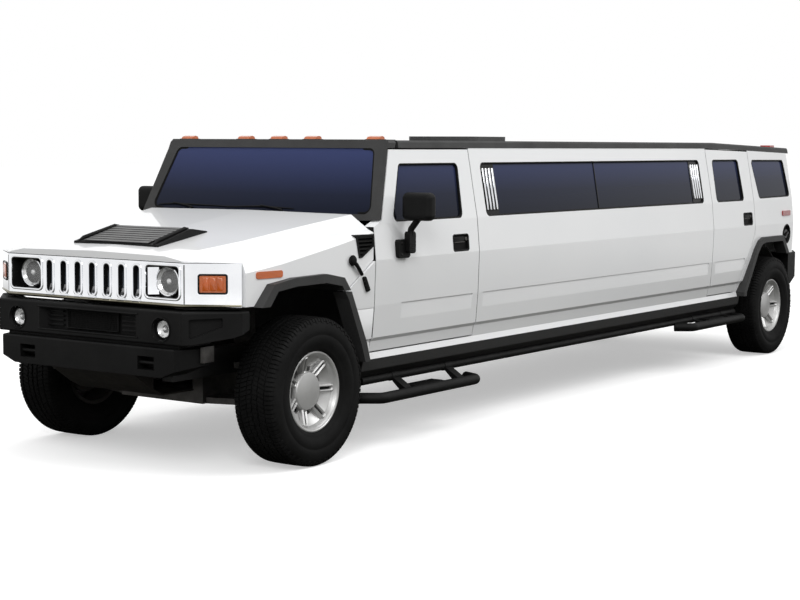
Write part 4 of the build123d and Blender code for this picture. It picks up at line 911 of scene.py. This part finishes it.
def door_seals(low_y, thick, z0, z1):
    """A black seal in a door's gap, following the body's side."""
    heights = [z0] + [z for z, _ in SECTION if z0 < z < z1] + [z1]

    def build():
        return Shape().loops([[on_side(low_y, z, -62), on_side(low_y, z, -4), on_side(low_y + thick, z, -4),
                               on_side(low_y + thick, z, -62)] for z in heights])
    return build


both_sides("front_door_seal", door_seals(FRONT_MM + 587, 3.2, 700, 1366), PLASTIC, DOORS["front"])
both_sides("rear_door_seal", door_seals(REAR_MM - 1257, 3.2, 700, 1825), PLASTIC, DOORS["rear"])
both_sides("front_post_seal", door_seals(FRONT_MM + 1752, 5.2, 700, 1825), PLASTIC)
both_sides("rear_post_seal", door_seals(REAR_MM - 400, 5.2, 1100, 1825), PLASTIC)


def corner_panel():
    """The painted panel between the front arch's rear leg and the front door."""
    outline = [(FRONT_MM + 376, 878), (FRONT_MM + 581, 878), (FRONT_MM + 581, 689), (FRONT_MM + 464, 689)]
    return Shape().plate(outline, on_side, -60, -0.2, 2)


both_sides("corner_panel", corner_panel, PAINT)


def handle_parts(y):
    """Black surround and pocket, the paddle, and the lock and the paddle's grey edge."""
    outer = rounded([(y - 98, HANDLE_Z - 59), (y + 98, HANDLE_Z - 59), (y + 98, HANDLE_Z + 59),
                     (y - 98, HANDLE_Z + 59)], 22, 5)

    def surround():
        shape = Shape()
        shape.band(outer, inset(outer, 14), on_side, -21, 4)
        shape.plate(inset(outer, 5), on_side, -21.5, -17, 1)
        paddle = rounded([(y - 78, HANDLE_Z + 4), (y + 48, HANDLE_Z + 4), (y + 48, HANDLE_Z + 40),
                          (y - 78, HANDLE_Z + 40)], 8, 3)
        shape.plate(paddle, on_side, -15, -2, 5)
        return shape

    def bright():
        shape = Shape()
        shape.tube([on_side(y - 72, HANDLE_Z + 3, -3), on_side(y + 46, HANDLE_Z + 3, -3)], 3.2, 10)
        shape.lathe([(0, -17), (13, -17), (13, -3), (10, -1.5), (9, -3), (0, -3)],
                    placed(side_x(HANDLE_Z), y + 66, HANDLE_Z + 22, ALONG_X), 20, closed=False)
        return shape
    return surround, bright


for end, y in (("front", FRONT_MM + 1537), ("rear", REAR_MM - 547)):
    surround, bright = handle_parts(y)
    both_sides(f"{end}_handle", surround, PLASTIC, DOORS[end], 40)
    both_sides(f"{end}_handle_lock", bright, STEEL, DOORS[end], 40)

MIRROR_Y = FRONT_MM + 870


def mirror_glass():
    loop = rounded([(1023, 1422), (1193, 1422), (1193, 1548), (1023, 1548)], 24, 5)
    return Shape().plate(loop, facing_rear(MIRROR_Y), 60.4, 64, 1.2)


def mirror_seams():
    """The joint round the mirror's shell and the screws of its foot."""
    shape = Shape()
    loop = rounded([(1001.5, 1399.5), (1213.5, 1399.5), (1213.5, 1568.5), (1001.5, 1568.5)], 36, 8)
    shape.loops([[(x, MIRROR_Y + d, z) for x, z in inset(loop, s)] for d, s in ((37, 0), (37, 1.6), (40, 1.6),
            (40, 0))], closed=True)
    for z in (1190, 1260):
        shape.lathe([(0, 0), (9, 0), (9, 2), (6, 4), (0, 4)], placed(1029, MIRROR_Y - 45, z, ALONG_X), 16,
                    closed=False)
    for n in range(5):
        z = 1206 + n * 12
        shape.tube([(1061, MIRROR_Y - 6, z), (1063.5, MIRROR_Y + 24, z), (1061, MIRROR_Y + 54, z)], 2.4, 8)
    return shape


both_sides("mirror_glass", mirror_glass, MIRROR, DOORS["front"])
both_sides("mirror_seams", mirror_seams, GLOSSY_BLACK, DOORS["front"], 45)


def hood_anchor():
    """The lower half of each hood latch, on the fixed corner behind the front wheel."""
    shape = Shape()
    block_loop = rounded([(FRONT_MM + 446, 1072), (FRONT_MM + 474, 1078), (FRONT_MM + 524, 990),
                          (FRONT_MM + 492, 980)], 8, 3)
    shape.plate(block_loop, on_side, -4, 16, 6)
    for share in (0.2, 0.5, 0.8):
        y, z = FRONT_MM + 452 + 52 * share, 1068 - 82 * share
        shape.tube([on_side(y - 14, z - 8, 15), on_side(y + 14, z + 8, 15)], 3.5, 8)
    return shape


both_sides("latch_anchor", hood_anchor, RUBBER, sharp=40)


def steps():
    """Ribbed treads on the step plates, and the collars where the straps meet the long tube."""
    shape = Shape()
    for y0, y1, z in ((FRONT_MM + 948, FRONT_MM + 1278, 366), (REAR_MM - 1402, REAR_MM - 1092, 424)):
        count = int((y1 - y0 - 20) / 15)
        for n in range(count + 1):
            y = y0 + 10 + (y1 - y0 - 20) * n / count
            shape.box(950, 1040, y - 3.5, y + 3.5, z - 1, z + 3, 1)
    for y0, span in ((FRONT_MM + 492, 1268), (REAR_MM - 1830, 1190)):
        for share in (0.33, 0.80):
            shape.lathe([(27, -42), (31, -40), (31, 40), (27, 42)], placed(905, y0 + span * share, 425,
                    ALONG_Y), 28)
    return shape


both_sides("step_treads", steps, PLASTIC, sharp=35)

filler_x = side_x(1068)
cup, cap = Shape(), Shape()
spot = placed(filler_x, REAR_MM + 317, 1068, ALONG_X)
cup.lathe([(0, -29), (87.5, -29), (87.5, 1), (89.5, 3), (80, 4.5), (76, -2), (72, -22), (50, -26), (0, -26)],
          spot, 56, closed=False)
cap.lathe([(0, -27), (42, -27), (44, -22), (44, -8), (40, -4), (0, -4)], spot, 28, closed=False)
cap.box(-5, 9, -34, 34, -7, 7, 3, spot @ Matrix.Rotation(math.radians(25), 4,
        "Z") @ Matrix.Rotation(math.radians(-90), 4, "Y"))
piece("filler_cup", cup, PLASTIC, "root", 40)
piece("filler_cap", cap, GLOSSY_BLACK, "root", 25)


# Windshield and roof

def on_screen(x, z, out):
    """A point of the windshield's outer face, and this far out of it."""
    return (x, FRONT_MM + 640 + 0.4357 * (z - 1430) + 40 * (x / 1000) ** 2 - out * 0.917, z + out * 0.4)


def wipers():
    shape = Shape()
    for x0, x1, tip in ((243, 60, -380), (-517, -700, 0)):
        shape.tube([on_screen(x0, 1440, 14), on_screen(x0 - 40, 1449, 22), on_screen(x1, 1468, 16)],
                   [8, 6, 4], 8)
        blade_end = x1 - 290 if tip else x1 + 560
        shape.tube([on_screen(blade_end, 1456, 7), on_screen(x1, 1464, 9),
                    on_screen(x1 + (260 if tip else -150), 1456, 7)], [2.5, 5, 2.5], 8)
    return shape


piece("wipers", wipers(), PLASTIC, "root", 50)
edge = Shape()
screen = rounded([(905, 1436), (812, 1838), (-812, 1838), (-905, 1436)], 45, 6)
edge.band(inset(screen, 0), inset(screen, 13), on_screen, -1, 3)
piece("windshield_rubber", edge, RUBBER, "root", 50)
inside = Shape()
inside.box(-125, 125, FRONT_MM + 868, FRONT_MM + 884, 1752, 1812, 6)
inside.tube([(0, FRONT_MM + 866, 1790), (0, FRONT_MM + 832, 1828)], 7, 10)
piece("inside_mirror", inside, INTERIOR, "root", 40)

bases = Shape()
for x in (-770, -276, 0, 276, 770):
    bases.box(x - 54, x + 54, FRONT_MM + 861, FRONT_MM + 944, 1887, 1894, 2)
piece("roof_lamp_bases", bases, PLASTIC, "root")


# Rear

BACK = REAR_MM + 560
tailgate_rubber = Shape()
loop = rounded([(-600, 1400), (-572, 1706), (572, 1706), (600, 1400)], 50, 6)
tailgate_rubber.band(inset(loop, -2.5), inset(loop, 12), facing_rear(BACK), -16, 1.6)
piece("tailgate_rubber", tailgate_rubber, PLASTIC, "tailgate", 50)
hardware = Shape()
pull = rounded(rectangle(0, 1060, 330, 92), 20, 5)
hardware.band(pull, inset(pull, 15), facing_rear(BACK), -2, 9)
hardware.plate(inset(pull, 6), facing_rear(BACK), -2, 2)
hardware.plate(rounded(rectangle(0, 1074, 280, 34), 10, 4), facing_rear(BACK), 0, 15, 6)
hardware.lathe([(0, -2), (24, -2), (24, 12), (18, 20), (0, 20)], placed(0, BACK, 1372, TO_REAR), 24,
               closed=False)
hardware.tube([(0, BACK + 18, 1372), (-160, BACK + 24, 1392), (-330, BACK + 20, 1420)], [7, 6, 4], 8)
hardware.tube([(-120, BACK + 13, 1408), (-330, BACK + 16, 1422), (-540, BACK + 12, 1430)], [3, 5, 3], 8)
piece("tailgate_handle_and_wiper", hardware, PLASTIC, "tailgate", 40)
stop = Shape().plate(rounded(rectangle(0, 1734, 320, 22), 8, 3), facing_rear(BACK), -1, 7, 2)
piece("high_stop_lamp", stop, RED, "tailgate", 40)
bezels, reverse = Shape(), Shape()
lamp_loop = rounded(rectangle(840, 1140, 84, 260), 14, 4)
bezels.band(inset(lamp_loop, -9), inset(lamp_loop, 1), facing_rear(BACK), -40, 12)
reverse.plate(rounded(rectangle(840, 1058, 64, 62), 8, 3), facing_rear(BACK), 14, 20.5, 2)
for shape, name, material in ((bezels, "tail_lamp_bezels", PLASTIC), (reverse, "reverse_lamps", CLEAR)):
    pair(name, shape, material, "root", 40)
treads = Shape()
for n in range(9):
    y = REAR_MM + 640 + n * 19
    treads.box(-600, 600, y - 4, y + 4, 878, 885, 1.5)
piece("rear_step_treads", treads, PLASTIC, "root")


# Seats

CORNER_POWER = 7
SIDE_TUCK = 0.035
CROWN = 0.16
CHANNEL_DEPTH, CHANNEL_WIDTH = 0.13, 0.035
PIPING_AT, PIPING_R = 0.72, 3.5
CABIN_FLOOR = 731
FRONT_SEAT_Y = FRONT_MM + 1130


def pad_shape(width, depth, height, channels=0, across=True):
    """A stuffed pad round its own centre: crowned, with drawn-in sides and sewn channels."""
    half = Vector((width / 2, depth / 2, height / 2))

    def place(u, v, w):
        reach = sum(abs(c) ** CORNER_POWER for c in (u, v, w)) ** (1 / CORNER_POWER)
        u, v, w = u / reach, v / reach, w / reach
        u2 = u * (1 - SIDE_TUCK * (1 - v * v))
        v2 = v * (1 - SIDE_TUCK * (1 - u * u))
        crown = 1 - CROWN * (1 - (1 - u ** 4) * (1 - v ** 4))
        w2 = w * (crown if w > 0 else 1)
        if channels and w > 0.3:
            along = u if across else v
            for n in range(1, channels + 1):
                line = -1 + 2 * n / (channels + 1)
                w2 -= CHANNEL_DEPTH * math.exp(-((along - line) / CHANNEL_WIDTH) ** 2)
        return Vector((u2 * half.x, v2 * half.y, w2 * half.z))

    shape = Shape()
    made = bmesh.ops.create_cube(shape.bm, size=2)
    cuts = 27 if channels else 13
    bmesh.ops.subdivide_edges(shape.bm, edges=shape.bm.edges[:], cuts=cuts, use_grid_fill=True)
    for vert in shape.bm.verts:
        vert.co = place(*vert.co)
    # piping along the upper seam
    ring = []
    corners = [(-1, -1), (1, -1), (1, 1), (-1, 1)]
    for (u0, v0), (u1, v1) in zip(corners, corners[1:] + corners[:1]):
        for k in range(12):
            t = k / 12
            ring.append(place(u0 + (u1 - u0) * t, v0 + (v1 - v0) * t, PIPING_AT) * 1.002)
    rows = []
    for i, here in enumerate(ring):
        ahead = (ring[(i + 1) % len(ring)] - ring[i - 1]).normalized()
        out = Vector((0, 0, 1)).cross(ahead).normalized()
        rows.append([here + (out * math.cos(a) + Vector((0, 0, 1)) * math.sin(a)) * PIPING_R
                     for a in (2 * math.pi * k / 8 for k in range(8))])
    shape.loops(rows, closed=True)
    return shape


PADS = {}


def pad(name, node, centre, size, lean=0.0, face="up", channels=0, across=True):
    """Places a pad: face says which way its crowned side looks."""
    turn = {"up": Matrix(), "front": TO_FRONT,
            "inward": Matrix.Rotation(math.radians(90), 4, "Z") @ TO_FRONT}[face]
    key = (size, channels, across)
    if key not in PADS:
        PADS[key] = pad_shape(*size, channels, across).mesh("pad", LEATHER, 60)
    made = bpy.data.objects.new(name, PADS[key])
    bpy.context.scene.collection.objects.link(made)
    made.matrix_world = placed(*(Vector(centre) / 1000), Matrix.Rotation(math.radians(-lean), 4, "X") @ turn)
    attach(made, "root")
    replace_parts(made, node)


for side_name, x in (("left", 430), ("right", -430)):
    y0 = FRONT_SEAT_Y
    pad(f"front_{side_name}_cushion", "front_seats", (x, y0 + 258, 1008), (520, 500, 142), channels=3)
    pad(f"front_{side_name}_back", "front_seats", (x, y0 + 584, 1285), (500, 410, 106), lean=14, face="front",
        channels=3)
    pad(f"front_{side_name}_headrest", "front_seats", (x, y0 + 652, 1565), (270, 130, 92), lean=14,
        face="front")

plinths = Shape()
for x in (430, -430):
    y0 = FRONT_SEAT_Y
    plinths.box(x - 215, x + 215, y0 + 45, y0 + 475, CABIN_FLOOR, 936, 12)
    for dx in (-60, 60):
        plinths.tube([(x + dx, y0 + 632, 1480), (x + dx, y0 + 648, 1540)], 6, 10)
bench = (FRONT_MM + 2300, REAR_MM - 1500)
plinths.box(-838, -360, bench[0] + 4, bench[1] - 4, CABIN_FLOOR, 916, 10)
plinths.box(-838, -820, bench[0] + 4, bench[1] - 4, 916, 1376, 4)
plinths.box(-556, 556, REAR_MM - 400, REAR_MM + 124, CABIN_FLOOR, 926, 10)
plinths.box(-556, 556, REAR_MM + 104, REAR_MM + 128, 926, 1594, 4)
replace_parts(piece("seat_plinths", plinths, INTERIOR, "root"), "lounge_seats")
run = (bench[1] - bench[0]) / 5
for n in range(5):
    y = bench[0] + run * (n + 0.5)
    pad(f"bench_cushion_{n + 1}", "lounge_seats", (-592, y, 998), (482, run - 8, 160), channels=3,
        across=False)
    pad(f"bench_back_{n + 1}", "lounge_seats", (-762, y, 1230), (run - 8, 290, 112), face="inward",
        channels=3)
for side_name, x in (("left", 280), ("right", -280)):
    pad(f"rear_{side_name}_cushion", "lounge_seats", (x, REAR_MM - 206, 1012), (552, 400, 166), channels=3)
    pad(f"rear_{side_name}_back", "lounge_seats", (x, REAR_MM + 52, 1348), (552, 490, 100), face="front",
        channels=3)


# Cabin fittings

dials, trim = Shape(), Shape()
for x in (330, 400, 470):
    dials.lathe([(0, -2), (30, -2), (33, 4), (29, 6), (28, 1), (0, 1)],
                placed(x, FRONT_MM + 930, 1310, TO_REAR), 28, closed=False)
for x in (-640, -120, 120, 680):
    trim.box(x - 55, x + 55, FRONT_MM + 928, FRONT_MM + 944, 1268, 1302, 3)
for n in range(5):
    trim.box(-90, 90, FRONT_MM + 925, FRONT_MM + 936, 1150 + n * 20, 1162 + n * 20, 2)
piece("dials", dials, CLEAR, "root")
piece("dash_vents", trim, GLOSSY_BLACK, "root")
bar = Shape()
bar.box(548, 842, FRONT_MM + 2592, FRONT_MM + 4808, 1196, 1222, 8)
for n in range(7):
    y = FRONT_MM + 2600 + 314 * n
    bar.box(548, 562, y + 8, y + 306, 760, 1180, 4)
    bar.tube([(546, y + 270, 930), (540, y + 270, 940), (540, y + 270, 1040), (546, y + 270, 1050)], 5, 8)
piece("bar_top_and_doors", bar, INTERIOR, "root")


# Stage and light

def ray_kind(tree, *kinds):
    """A socket that is 1 for rays of any of these kinds."""
    path = tree.nodes.new("ShaderNodeLightPath")
    total = None
    for kind in kinds:
        socket = path.outputs[f"Is {kind} Ray"]
        if total is None:
            total = socket
        else:
            add_node = tree.nodes.new("ShaderNodeMath")
            add_node.operation = "MAXIMUM"
            tree.links.new(total, add_node.inputs[0])
            tree.links.new(socket, add_node.inputs[1])
            total = add_node.outputs[0]
    return total


def make_world():
    """White to look at, and a softer light that is stronger from above for everything else."""
    world = bpy.data.worlds.new("studio")
    bpy.context.scene.world = world
    world.use_nodes = True
    tree = world.node_tree
    background = tree.nodes["Background"]
    background.inputs["Color"].default_value = (1, 1, 1, 1)
    where = tree.nodes.new("ShaderNodeTexCoord")
    split = tree.nodes.new("ShaderNodeSeparateXYZ")
    tree.links.new(where.outputs["Generated"], split.inputs["Vector"])
    sky = tree.nodes.new("ShaderNodeMapRange")
    tree.links.new(split.outputs["Z"], sky.inputs["Value"])
    for key, value in {"From Min": -0.1, "From Max": 0.8, "To Min": SKY_LOW, "To Max": SKY_HIGH}.items():
        sky.inputs[key].default_value = value
    strength = tree.nodes.new("ShaderNodeMapRange")
    tree.links.new(ray_kind(tree, "Camera", "Glossy", "Transmission"), strength.inputs["Value"])
    tree.links.new(sky.outputs["Result"], strength.inputs["To Min"])
    strength.inputs["To Max"].default_value = 1.0
    tree.links.new(strength.outputs["Result"], background.inputs["Strength"])


def area_light(name, at, to, size, power):
    data = bpy.data.lights.new(name, "AREA")
    data.energy = power
    data.shape = "DISK"
    data.size = size
    light = bpy.data.objects.new(name, data)
    bpy.context.scene.collection.objects.link(light)
    light.location = at
    light.rotation_mode = "QUATERNION"
    light.rotation_quaternion = (Vector(to) - Vector(at)).to_track_quat("-Z", "Y")


FLOOR_FADE = (7.0, 14.0)
FLOOR_WHITE, FLOOR_GLOW = (0.82, 0.82, 0.82), 0.45


def make_floor():
    """A floor that looks white and keeps the car's shadow, but is dark to the car itself near it."""
    mesh = bpy.data.meshes.new("floor")
    mesh.from_pydata([(-90, -90, 0), (90, -90, 0), (90, 90, 0), (-90, 90, 0)], [], [(0, 1, 2, 3)])
    floor = bpy.data.objects.new("floor", mesh)
    bpy.context.scene.collection.objects.link(floor)
    m = Mat("pale_floor", Roughness=0.95, Specular_IOR_Level=0.1)
    away = m.node("VectorMath", {0: m.coords()}, operation="LENGTH").outputs["Value"]
    far = m.node("MapRange", {"Value": away, "From Min": FLOOR_FADE[0],
                              "From Max": FLOOR_FADE[1]}).outputs["Result"]
    mirrored = m.node("Math", {0: ray_kind(m.tree, "Glossy"), 1: far}, operation="MULTIPLY").outputs["Value"]
    direct = ray_kind(m.tree, "Camera", "Transmission")
    seen = m.node("Math", {0: direct, 1: mirrored}, operation="MAXIMUM").outputs["Value"]
    tone = m.ramp(m.noise(0.4, 3), [(0.3, (0.070, 0.070, 0.062)), (0.7, (0.090, 0.090, 0.080))])
    mixed = m.node("MixRGB", {"Fac": seen, "Color1": tone, "Color2": (*FLOOR_WHITE, 1)})
    m.link(mixed.outputs["Color"], "Base Color")
    m.shader.inputs["Emission Color"].default_value = (1, 1, 1, 1)
    m.link(m.node("MapRange", {"Value": seen, "To Max": FLOOR_GLOW}).outputs["Result"], "Emission Strength")
    mesh.materials.append(m.material)


SKY_LOW, SKY_HIGH = 0.0, 0.95
bpy.context.scene.view_settings.view_transform = "Standard"
make_world()
make_floor()
area_light("key", (5.5, -11, 6.5), (0.5, -2.5, 0.8), 5, 440)
area_light("side", (7.5, 0.5, 7.0), (0.9, 0, 1.4), 6, 350)
area_light("top", (0, -1, 9), (0, 0, 1), 8, 220)
